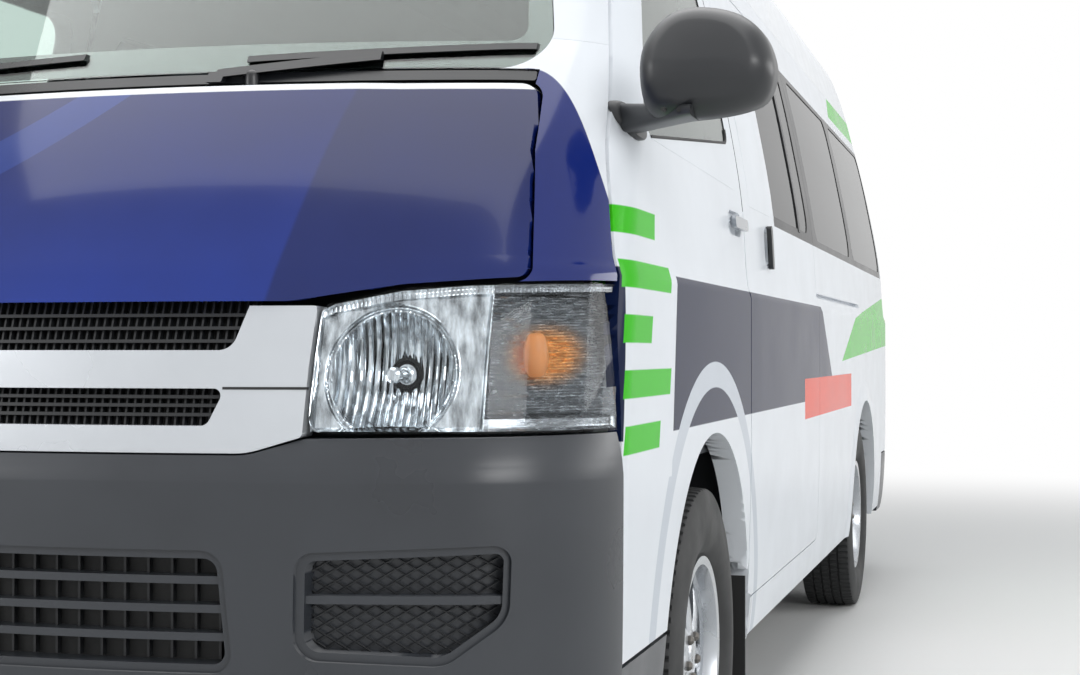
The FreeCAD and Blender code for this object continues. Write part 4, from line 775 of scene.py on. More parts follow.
def dress(node: str, finishes: Sequence[tuple[Finish, Optional[Test]]], surface: BodySurface = BODY,
          relief: Optional[Callable] = None, cuts: Iterable[tuple[Sequence, Sequence]] = (),
          joins: Iterable[tuple[int, float]] = (), body: str = "root", step: float = 0.04,
          flatten: Optional[Callable] = None) -> bpy.types.Object:
    """Copy a panel of the frame, cut it finely in height and lay it on the smooth skin.

    Args:
        node: the frame's node, which the piece replaces.
        finishes: finishes, each with a test of (middles, depths, facings) that says where it goes.
        surface: the skin that the panel follows.
        relief: how far the panel's points stand proud of the skin.
        cuts: further planes, as a point and a normal, that cut the mesh.
        joins: axis numbers and places of the seams between a panel's solids, which are closed.
        body: the body that it rides on.
        step: the distance between the horizontal cuts.
        flatten: the height over the skin that points near it get in place of their own.

    Returns:
        The new piece.
    """
    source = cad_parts[node]
    work = bmesh.new()
    work.from_mesh(source.data)
    bmesh.ops.remove_doubles(work, verts=work.verts[:], dist=WELD)
    low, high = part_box(node)
    levels = [((0, 0, z), (0, 0, 1)) for z in np.arange(low.z + step / 2, high.z, step)]
    for point, normal in levels + list(cuts):
        everything = work.verts[:] + work.edges[:] + work.faces[:]
        bmesh.ops.bisect_plane(work, geom=everything, dist=1e-6, plane_co=point, plane_no=normal)
    for axis, place in joins:
        inside = [f for f in work.faces if abs(f.normal[axis]) > LEVEL
                  and all(abs(v.co[axis] - place) < SEAM for v in f.verts)]
        bmesh.ops.delete(work, geom=inside, context="FACES")
        for vert in work.verts:
            if abs(vert.co[axis] - place) < SEAM:
                vert.co[axis] = place
    if joins:
        bmesh.ops.remove_doubles(work, verts=work.verts[:], dist=SEAM_WELD)
    mesh = bpy.data.meshes.new(node + "_dressed")
    work.to_mesh(mesh)
    work.free()
    p = surface.smoothed(read(mesh.vertices, "co"))
    depth, normal = surface.offset(p)
    if flatten is not None:
        near = depth > -PANEL_SKIN
        p[near, :2] += normal[near] * (flatten(p[near]) - depth[near])[:, None]
    if relief is not None:
        p += surface.normal(p) * relief(p)[:, None]
    mesh.vertices.foreach_set("co", p.ravel())
    mesh.update()
    for finish, _ in finishes:
        mesh.materials.append(finish.material())
    middles = read(mesh.polygons, "center")
    depth = surface.offset(middles)[0]
    facing = (read(mesh.polygons, "normal") * surface.normal(middles)).sum(1)
    marks = np.zeros(len(middles), np.int32)
    for number, (_, test) in enumerate(finishes):
        if test is not None:
            marks[test(middles, depth, facing)] = number
    mesh.polygons.foreach_set("material_index", marks)
    loop_normals(mesh, surface, relief)
    made = bpy.data.objects.new(node + "_dressed", mesh)
    bpy.context.scene.collection.objects.link(made)
    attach(made, body)
    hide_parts(node)
    log.info("dressed %s: %d faces", node, len(mesh.polygons))
    return made


def window_reveal(middles: np.ndarray, depth: np.ndarray, turned: np.ndarray) -> np.ndarray:
    """Faces of the window holes' edges, which carry the rubber seals."""
    in_band = (middles[:, 2] > WINDOW_LOW) & (middles[:, 2] < WINDOW_HIGH)
    on_edge = (np.abs(turned) < EDGE_ON) & (depth < -2 * MM)
    return in_band & on_edge & (np.abs(middles[:, 1]) < HALF_LENGTH - 0.01)


def lining(middles: np.ndarray, depth: np.ndarray, turned: np.ndarray) -> np.ndarray:
    """Faces that look into the cabin."""
    return (turned < -0.5) & (depth < -LINING_DEPTH)


def proud(middles: np.ndarray, depth: np.ndarray, turned: np.ndarray) -> np.ndarray:
    """Faces of what stands proud of the skin, such as a handle's grip."""
    return depth > 2 * MM


def ride_pair(node: str) -> tuple[tuple[str, str], ...]:
    """The left and right nodes of a name, with the body that each rides on."""
    return tuple((f"{node}_{side.word}", f"door_{side.word}") for side in Side)


@dataclass
class Body:
    """The body's panels, glass and lids, laid on the smooth skin."""

    arches: tuple = ((-1.550, 0.452), (REAR_AXLE_Y, 0.430))
    arch_z: float = 0.350
    arch_reach: float = 0.58
    arch_step: float = 0.02
    flare: float = 0.007
    flare_width: float = 0.085
    crease_low: float = 0.428
    crease_high: float = 0.506
    hood_low: float = 1.005
    hood_high: float = 1.460
    hood_rise: float = 0.009
    hood_fall: float = 0.070
    hood_cuts: tuple = (0.2, 0.46, 0.62, 0.7)
    roof_joints: tuple = ((0, 0.37515), (0, -0.37515), (1, -1.29015), (1, -0.13015), (1, 1.04485),
                          (1, 2.21485))

    def arch_flare(self, p: np.ndarray) -> np.ndarray:
        """A raised lip round each arch: highest at its edge, and fading with the square of the distance."""
        out = np.zeros(len(p))
        for y, radius in self.arches:
            away = np.hypot(p[:, 1] - y, p[:, 2] - self.arch_z) - radius
            near = np.clip(1 - away / self.flare_width, 0, 1) * (away > -0.02)
            out = np.maximum(out, self.flare * near ** 2 * (3 - 2 * near))
        return out

    def hood_crown(self, p: np.ndarray) -> np.ndarray:
        """The hood's raised middle: level inside the slanted crease, and falling evenly outside it."""
        slant = (p[:, 2] - self.hood_low) / (self.hood_high - self.hood_low)
        edge = self.crease_low + (self.crease_high - self.crease_low) * slant
        past = np.abs(p[:, 0]) - edge
        return self.hood_rise * np.clip(1 - past / self.hood_fall, 0, 1)

    def arch_cuts(self) -> list:
        """Upright planes close together round the front arches and the rear ones, and level planes."""
        offsets = np.arange(-self.arch_reach, self.arch_reach + MM, self.arch_step)
        planes = [[((0, y, 0), (0, 1, 0)) for y in middle + offsets] for middle, _ in self.arches]
        return [*planes, [((0, 0, z), (0, 0, 1)) for z in np.arange(0.33, 0.92, self.arch_step)]]

    def panels(self) -> None:
        """Dress the painted panels."""
        shell = [(SIDE_PAINT, None), (TRIM_GREY, lining), (SEAL_AND_SHADE_BLACK, window_reveal)]
        front_cuts, rear_cuts, level_cuts = self.arch_cuts()
        for node in ("left_side_panel", "right_side_panel"):
            dress(node, shell, relief=self.arch_flare, cuts=front_cuts + rear_cuts + level_cuts)
        dress("sliding_door", shell + [(SATIN_BLACK, proud)])
        for node, body in ride_pair("door"):
            dress(node, shell + [(HANDLE_SILVER, proud)], cuts=front_cuts + level_cuts, body=body)
        dress("cab_frame", [(ROOF_PAINT, None), (TRIM_GREY, lining)])
        dress("corner_panels", [(CORNER_PAINT, None), (UNDERBODY, lining)], step=0.02)
        dress("roof", [(ROOF_PAINT, None), (TRIM_GREY, lining)], step=0.02, joins=self.roof_joints)
        dress("tailgate", [(ROOF_PAINT, None), (TRIM_GREY, lining), (SEAL_AND_SHADE_BLACK, window_reveal),
                           (CHARCOAL, proud)], body="tailgate")
        tall, lean = self.hood_high - self.hood_low, self.crease_high - self.crease_low
        crease = [((x * side, 0, self.hood_low), (tall, 0, -lean * side))
                  for side in (1, -1) for x in (self.crease_low, self.crease_low + self.hood_fall)]
        levels = [((x * side, 0, 0), (1, 0, 0)) for side in (1, -1) for x in self.hood_cuts]
        dress("hood", [(HOOD_PAINT, None), (UNDERBODY, lining)], body="hood", cuts=crease + levels,
              flatten=lambda p: self.hood_crown(p) * (BODY.offset(p)[0] > -PANEL_SKIN), step=0.02)

    def plastics(self) -> None:
        """Dress the moulded and plated parts that follow the skin."""
        dress("front_bumper", [(CHARCOAL, None)], surface=BUMPER, step=0.02)
        for node, finish, step in (("rear_bumper", CHARCOAL, 0.04), ("step_trims", CHARCOAL, 0.04),
                                   ("grille", SILVER_PAINT, 0.02), ("grille_slats", SLAT_BLACK, 0.04),
                                   ("cowl", SATIN_BLACK, 0.04), ("tail_lamps", RED_LENS, 0.04)):
            dress(node, [(finish, None)], step=step)

    def glass(self) -> None:
        """Dress the panes and the headlamps' covers."""
        dress("windscreen", [(WINDSCREEN, None)])
        dress("side_windows", [(PRIVACY_GLASS, None)])
        dress("tailgate_glass", [(PRIVACY_GLASS, None)], body="tailgate")
        for node, body in ride_pair("door_glass"):
            dress(node, [(CLEAR_GLASS, None)], body=body)
        dress("headlamp_lenses", [(CLEAR_LENS, None)], step=0.02)

    def build(self) -> None:
        """Dress the whole body."""
        self.panels()
        self.plastics()
        self.glass()


def turned(profile: Sequence, count: int, centre: Sequence[float], axis: int = 0) -> np.ndarray:
    """Turn a profile about an axis: at each angle, a point at the profile's radius.

    Args:
        profile: places along the axis and radii.
        count: how many angles.
        centre: a point on the axis, from which the places count.
        axis: 0, 1 or 2 for X, Y or Z.

    Returns:
        A grid of one row an angle.
    """
    along, radius = np.asarray(profile, float).T
    angle = np.linspace(0, 2 * np.pi, count, endpoint=False)[:, None]
    parts = [np.broadcast_to(along, (count, len(along))), radius * np.cos(angle), radius * np.sin(angle)]
    return np.roll(np.stack(parts, -1), axis, axis=-1) + np.asarray(centre)


def rounded(points: Sequence, passes: int = 2, closed: bool = False, reach: float = 0.0) -> np.ndarray:
    """Cut a line's corners by quarters, pass by pass.

    Args:
        points: the line's corners.
        passes: how often every corner is cut.
        closed: whether the line's end meets its start.
        reach: how far from each corner of a closed line the cutting starts, if not at mid edge.

    Returns:
        The rounded line's points.
    """
    line = np.asarray(points, float)
    if reach:
        before, after = np.roll(line, 1, axis=0) - line, np.roll(line, -1, axis=0) - line
        near = [line + reach * way / np.linalg.norm(way, axis=1)[:, None] for way in (before, after)]
        line = np.stack([near[0], line, near[1]], 1).reshape(-1, line.shape[1])
    for _ in range(passes):
        after = np.roll(line, -1, axis=0) if closed else line[1:]
        before = line if closed else line[:-1]
        new = np.stack([0.75 * before + 0.25 * after, 0.25 * before + 0.75 * after], 1)
        new = new.reshape(-1, line.shape[1])
        line = new if closed else np.vstack([line[:1], new[1:-1], line[-1:]])
    return line


def tube(path: np.ndarray, radius: float, sides: int = 8, up: Sequence[float] = (0, 0, 1),
         flat: float = 1.0) -> np.ndarray:
    """Carry an ellipse along a path, in the plane across its direction.

    Args:
        path: points as rows.
        radius: the ellipse's half height.
        sides: how many points go round it.
        up: a direction that isn't along the path.
        flat: the half width by the half height.

    Returns:
        A grid of one row a path point.
    """
    way = np.gradient(path, axis=0)
    way /= np.linalg.norm(way, axis=1)[:, None]
    across = np.cross(way, np.asarray(up, float))
    across /= np.linalg.norm(across, axis=1)[:, None]
    upward = np.cross(across, way)
    angle = np.linspace(0, 2 * np.pi, sides, endpoint=False)[None, :, None]
    return path[:, None] + radius * (flat * np.cos(angle) * across[:, None] + np.sin(angle) * upward[:, None])


def wrap(surface: BodySurface, s: np.ndarray, z: np.ndarray, start: float, depth: np.ndarray,
         side: Side) -> np.ndarray:
    """Points at a length s round the section at height z, from a place on the bow.

    The length runs along the bow's arc to where the corner touches it, on round the corner, and then
    straight back along the side.

    Args:
        surface: the skin.
        s: lengths along the section.
        z: heights, in the shape of s.
        start: the X at which the length is zero.
        depth: how far inside the skin.
        side: which side.

    Returns:
        The points, in the shape of s with a last axis of 3.
    """
    inset, nose, bow, corner = (v.reshape(s.shape) for v in surface.values(z.ravel(), True).T[:4])
    half, nose = HALF_WIDTH - inset, nose - HALF_LENGTH
    cx = half - corner
    cy = nose + bow - np.sqrt((bow - corner) ** 2 - cx ** 2)
    first, touch = np.arcsin(start / bow), np.arcsin(cx / (bow - corner))
    on_bow = first + s / bow
    on_corner = touch + (s - (touch - first) * bow) / corner
    over = np.maximum(on_corner - np.pi / 2, 0.0) * corner
    angle = np.where(on_bow < touch, on_bow, np.minimum(on_corner, np.pi / 2))
    reach = np.where(on_bow < touch, bow, corner) - depth
    x = np.where(on_bow < touch, 0.0, cx) + reach * np.sin(angle)
    y = np.where(on_bow < touch, nose + bow, cy) - reach * np.cos(angle) + over
    return np.stack([side.value * x, y, z], -1)


@dataclass
class Wheel:
    """One wheel: a treaded tyre, a broad-spoked trim over its barrel, and the brake disc."""

    end: str
    side: Side
    track: float
    axle_y: float
    pitch: int = 90
    spokes: int = 7
    nuts: int = 5
    nut_circle: float = 0.044
    tread_half: float = 0.0815
    crown: float = 0.0032
    groove: float = 0.008
    cut: float = 0.0055
    grooves: tuple = (0.047, 0.016)
    wall: tuple = ((0.0722, 0.1904), (0.0726, 0.2060), (0.0800, 0.2110), (0.0930, 0.2350), (0.0978, 0.2680),
                   (0.0945, 0.3000), (0.0905, 0.3260), (0.0850, 0.3390))
    barrel: tuple = ((0.080, 0.186), (0.0815, 0.2035), (0.0745, 0.2035), (0.0725, 0.1895), (-0.0725, 0.1895),
                     (-0.0745, 0.2035), (-0.080, 0.2035), (-0.080, 0.186), (-0.062, 0.178), (0.058, 0.178))
    hub: tuple = ((0.062, 0.0), (0.0645, 0.012), (0.064, 0.026), (0.060, 0.031), (0.0615, 0.034),
                  (0.0605, 0.050), (0.052, 0.066), (0.030, 0.070), (0.020, 0.070), (0.020, 0.0))
    nut: tuple = ((0.050, 0.011), (0.066, 0.0105), (0.071, 0.006), (0.072, 0.0))
    disc: tuple = ((-0.020, 0.045), (-0.020, 0.138), (0.004, 0.138), (0.004, 0.045))

    @property
    def centre(self) -> np.ndarray:
        """The wheel's centre."""
        return np.array([self.side.value * self.track / 2, self.axle_y, WHEEL_R])

    def tyre(self) -> bpy.types.Object:
        """Turn the tyre: a bulging wall, four round grooves, and cross cuts every 24 mm.

        The tread's radius falls by the crown times the fourth power of the place across it.

        Returns:
            The tyre.
        """
        edges = [(self.tread_half, 0)]
        for middle in self.grooves:
            edges += [(middle + 0.0038, 0), (middle + 0.0028, 1), (middle - 0.0028, 1), (middle - 0.0038, 0)]
        x, deep = np.array(edges).T
        tread = np.column_stack([x, WHEEL_R - self.crown * (x / self.tread_half) ** 4 - self.groove * deep])
        half = np.vstack([rounded(self.wall, 2), tread])
        whole = np.vstack([half, half[::-1] * (-1, 1)])
        points = turned(whole, self.pitch * 4, (0, 0, 0))
        on_tread = (np.abs(whole[:, 0]) < self.tread_half + 0.0015) & (whole[:, 1] > WHEEL_R - 0.004)
        turn = np.arange(self.pitch * 4)[:, None]
        shift = np.where(np.abs(whole[:, 0]) > 0.03, 1, 3)[None, :]
        cut = ((turn + shift) % 4 == 0) & on_tread[None, :]
        points[..., 1:] *= np.where(cut, 1 - self.cut / WHEEL_R, 1.0)[..., None]
        bundle = Bundle()
        bundle.grid(points + self.centre, round_rows=True, round_columns=True)
        return bundle.object(f"tyre_{self.end}_{self.side.word}_treaded", [TYRE_RUBBER], 40)

    def face(self, r: np.ndarray) -> np.ndarray:
        """The trim's height over the wheel's middle plane: a shallow bowl, highest at its hub."""
        bowl = 0.014 * np.clip((r - 0.045) / 0.12, 0, 1) ** 1.5
        return 0.060 - bowl + 0.012 * np.clip((r - 0.165) / 0.03, 0, 1)

    def trim(self) -> bpy.types.Object:
        """Build the wheel's barrel, rings, spokes, cap, nuts and disc.

        A spoke's half angle is its half width over the radius; its crown falls with the square of
        the place across it.

        Returns:
            The trim.
        """
        bundle, out = Bundle(), self.side.value
        scale = np.array([out, 1.0])
        radii = np.array([0.163, 0.170, 0.178, 0.186])
        ring = np.column_stack([self.face(radii), radii])
        ring = np.vstack([ring, ring[::-1] - (0.006, 0)])
        for profile, count, closed, mark in ((self.barrel, 96, True, 0), (ring, 96, True, 0),
                                             (self.hub, 64, False, 0), (self.disc, 72, True, 1)):
            bundle.grid(turned(np.array(profile) * scale, count, self.centre), True, closed, mark=mark)
        r = np.linspace(0.052, 0.168, 14)[:, None]
        s = np.linspace(-1, 1, 11)[None, :]
        width = 0.021 + 0.013 * np.clip((r - 0.11) / 0.058, 0, 1) ** 2
        width = width + 0.004 * np.clip((0.09 - r) / 0.04, 0, 1)
        lift = self.face(r) + 0.005 * (1 - s ** 4) - 0.004
        for turn in np.arange(self.spokes) * 2 * np.pi / self.spokes:
            angle = turn + s * width / r
            top = np.stack([out * lift, r * np.sin(angle), r * np.cos(angle)], -1)
            loop = np.concatenate([top, (top - (out * 0.013, 0, 0))[:, ::-1]], axis=1)
            bundle.grid(loop + self.centre, round_columns=True, caps=True)
        for turn in (np.arange(self.nuts) + 0.5) * 2 * np.pi / self.nuts:
            place = self.centre + (0, self.nut_circle * np.sin(turn), self.nut_circle * np.cos(turn))
            bundle.grid(turned(np.array(self.nut) * scale, 6, place), True, mark=1)
        return bundle.object(f"rim_{self.end}_{self.side.word}_trim", [ALLOY, DISC_STEEL], 32)

    def build(self) -> None:
        """Build the tyre and the trim, and hang them on the wheel's body."""
        name = f"{self.end}_{self.side.word}"
        for made, node in ((self.tyre(), "tyre_" + name), (self.trim(), "rim_" + name)):
            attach(made, "wheel_" + name)
            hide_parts(node)


@dataclass
class Headlamp:
    """One headlamp behind its cover: a fluted bowl with its bulb, a divider and the indicator."""

    side: Side
    start: float = 0.523
    length: float = 0.520
    split: float = 0.262
    bowl_s: float = 0.116
    bowl_z: float = 0.932
    bowl_r: float = 0.094
    bowl_depth: float = 0.074
    shelf: float = 0.018
    flute: float = 0.0045
    flute_pitch: float = 0.0115
    rib_pitch: float = 0.0085
    low_z: float = 0.848
    band_z: float = 0.866
    lamp_s: float = 0.352
    lamp_z: float = 0.962
    bulb: tuple = ((0.000, 0.0), (0.001, 0.008), (0.004, 0.012), (0.016, 0.0125), (0.017, 0.010),
                   (0.022, 0.0085), (0.052, 0.0085), (0.066, 0.016))
    collar: tuple = ((0.066, 0.016), (0.060, 0.022), (0.066, 0.027))
    lamp: tuple = ((-0.034, 0.001), (-0.034, 0.012), (-0.014, 0.019), (0.014, 0.019), (0.034, 0.012),
                   (0.034, 0.001))

    def top(self, s: np.ndarray) -> np.ndarray:
        """The opening's upper edge, by the length round the corner."""
        return np.interp(s, [0, 0.02, 0.06, 0.12, 0.22, self.length],
                         [1.030, 1.040, 1.048, 1.060, 1.068, 1.076])

    def depth(self, s: np.ndarray, z: np.ndarray) -> np.ndarray:
        """How far the reflector lies behind the skin.

        The bowl is a paraboloid with upright flutes, set in a level shelf. The divider stands
        between the shelf and the indicator's pocket, and the rim rises all round.
        """
        reach = np.hypot(s - self.bowl_s, (z - self.bowl_z) * 0.97) / self.bowl_r
        flute = self.flute * np.abs(np.sin(np.pi * (s - self.bowl_s) / self.flute_pitch)) * (1 - 0.5 * reach)
        bowl = self.shelf + (reach < 1) * (self.bowl_depth * (1 - np.minimum(reach, 1) ** 2) - flute)
        lip = 0.006 * np.exp(-((reach - 1.05) / 0.03) ** 2)
        across = np.clip((s - self.split) / (self.length - self.split), 0, 1)
        pocket = 0.026 + 0.10 * across * (1 - across) + 0.0022 * np.sin(2 * np.pi * z / self.rib_pitch)
        deep = np.where(s < self.split, bowl - lip, pocket)
        wall = np.clip(np.abs(s - self.split) / 0.005, 0, 1)
        deep = 0.008 + (deep - 0.008) * wall
        low = np.clip((z - self.band_z) / 0.004, 0, 1) * (s >= self.split) + (s < self.split)
        deep = 0.012 + (deep - 0.012) * low
        ribs = 0.011 + 0.0010 * np.sin(2 * np.pi * s / 0.0065)
        high = np.clip((self.top(s) - 0.013 - z) / 0.003, 0, 1)
        deep = ribs + (deep - ribs) * high
        edge = np.minimum.reduce([s, self.length - s, z - self.low_z, self.top(s) - z]) / 0.005
        return 0.006 + (deep - 0.006) * np.clip(edge, 0, 1)

    def point(self, s: float, z: float, depth: float) -> np.ndarray:
        """One point behind the skin."""
        return wrap(BODY, np.array([[s]]), np.array([[z]]), self.start, np.array([[depth]]), self.side)[0, 0]

    def build(self) -> bpy.types.Object:
        """Build the reflector, the bulbs and the rim.

        Returns:
            The lamp's inside.
        """
        bundle = Bundle()
        for low, high, mark in ((0.0, self.split, 0), (self.split, self.length, 3)):
            s, t = np.meshgrid(np.linspace(low, high, 161), np.linspace(0, 1, 150))
            z = self.low_z + t * (self.top(s) - self.low_z)
            bundle.grid(wrap(BODY, s, z, self.start, self.depth(s, z), self.side), mark=mark)
        middle = self.point(self.bowl_s, self.bowl_z, 0.014)
        for profile, mark in ((self.bulb, 0), (self.collar, 2)):
            bundle.grid(turned(profile, 28, middle, axis=1), True, mark=mark)
        middle = self.point(self.lamp_s, self.lamp_z, 0.034)
        bundle.grid(turned(rounded(self.lamp, 2), 24, middle, axis=2), True, mark=1)
        return bundle.object(f"headlamp_inside_{self.side.word}", [REFLECTOR, AMBER, SEAL_AND_SHADE_BLACK, POCKET], 28)


@dataclass
class DoorMirror:
    """A door mirror: a pillow-shaped shell with a level ridge, its glass, and an arm from the door."""

    side: Side
    front_y: float = -2.335
    rear_y: float = -2.240
    ridge_z: float = 1.410
    flat: float = 0.70
    turn: float = 0.036
    screws: tuple = (1.000, 1.022)
    foot: tuple = ((-2.196, 1.350), (-2.148, 1.326), (-2.100, 1.332), (-2.104, 1.372), (-2.186, 1.402))
    outline: tuple = ((0.953, 1.434), (0.957, 1.462), (0.974, 1.492), (0.998, 1.516), (1.036, 1.524),
                      (1.080, 1.519), (1.120, 1.505), (1.152, 1.476), (1.168, 1.440), (1.172, 1.404),
                      (1.158, 1.366), (1.128, 1.353), (1.080, 1.345), (1.020, 1.341), (0.966, 1.347),
                      (0.955, 1.372))

    def shell(self, outline: np.ndarray) -> np.ndarray:
        """Rows of points from the face's middle to the rim.

        The face leans back above the ridge and, more steeply, below it. Towards its edge it turns
        back by a quarter of an ellipse, and from there the wall runs to the rim.

        Args:
            outline: the outline's (x, z) points.

        Returns:
            The grid.
        """
        middle = outline.mean(axis=0)
        flat, edge = self.flat, 1 - self.flat
        outer = flat + edge * np.sin(np.linspace(0.1, np.pi / 2, 10))
        reach = np.concatenate([np.linspace(0.0, flat, 13), outer])
        at = middle + reach[:, None, None] * (outline - middle)
        rise = at[..., 1] - self.ridge_z
        lean = np.where(rise > 0, 0.26 * rise + 0.7 * rise ** 2, -0.52 * rise + 0.5 * rise ** 2)
        soft = 0.0045 * np.exp(-(rise / 0.010) ** 2)
        bow = 1.1 * (at[..., 0] - middle[0]) ** 2
        turn = self.turn * (1 - np.sqrt(np.clip(1 - ((reach - flat) / edge).clip(0) ** 2, 0, 1)))[:, None]
        face = np.concatenate([at, (self.front_y + lean + soft + bow + turn)[..., None]], -1)[..., [0, 2, 1]]
        share = np.linspace(0, 1, 5)[1:, None]
        wall = np.repeat(face[-1:], len(share), axis=0)
        wall[..., 1] += share * (self.rear_y - wall[..., 1])
        return np.concatenate([face, wall])

    def build(self) -> bpy.types.Object:
        """Build shell, rim, glass, arm and foot.

        Returns:
            The mirror.
        """
        bundle = Bundle()
        outline = rounded(self.outline, 2, closed=True)
        skin = self.shell(outline)
        rim = skin[-1]
        middle = rim.mean(axis=0)
        inner = np.stack([(rim - middle) * (k, 1, k) + middle + (0, d, 0)
                          for k, d in ((0.965, 0.001), (0.94, -0.002), (0.93, -0.010))])
        bundle.grid(np.concatenate([skin, inner]), round_columns=True)
        glass = np.stack([(rim - middle) * (k, 1, k) + middle - (0, 0.008 - d, 0)
                          for k, d in ((0.93, 0.0), (0.6, 0.001), (0.3, 0.0015), (0.0, 0.002))])
        bundle.grid(glass, round_columns=True, mark=1)
        along = np.linspace(0, 1, 14)[:, None]
        angle = np.linspace(0, 2 * np.pi, 28, endpoint=False)[None, :]
        across, up = (np.sign(v) * np.abs(v) ** 0.45 for v in (np.cos(angle), np.sin(angle)))
        top = 1.388 - 0.028 * along
        bottom = 1.337 + 0.004 * along
        arm = np.stack(np.broadcast_arrays(
            0.895 + 0.148 * along, -2.150 - 0.134 * along + (0.034 + 0.008 * along) * across,
            (top + bottom) / 2 + (top - bottom) / 2 * up), -1)
        bundle.grid(arm, round_columns=True, caps=True)
        shape = rounded(self.foot, 3, closed=True)
        hub = shape.mean(axis=0)
        rows = [(0.0, -0.012), (0.5, -0.012), (0.9, -0.011), (0.98, -0.008), (1.0, -0.003), (1.0, 0.002)]
        foot = np.stack([BODY.at_side(*(hub + k * (shape - hub)).T, Side.LEFT, d) for k, d in rows])
        bundle.grid(foot, round_columns=True)
        for x in self.screws:
            place = (x, -2.319 + 0.6 * (x - 1.0), 1.352)
            bundle.grid(turned(((-0.003, 0.001), (-0.003, 0.0035), (0.004, 0.0045)), 12, place, axis=1), True,
                        mark=2)
        for part in bundle.verts:
            part[:, 0] *= self.side.value
        return bundle.object(f"mirror_{self.side.word}_shell", [MIRROR_SHELL, MIRROR_GLASS, SEAL_AND_SHADE_BLACK], 40)


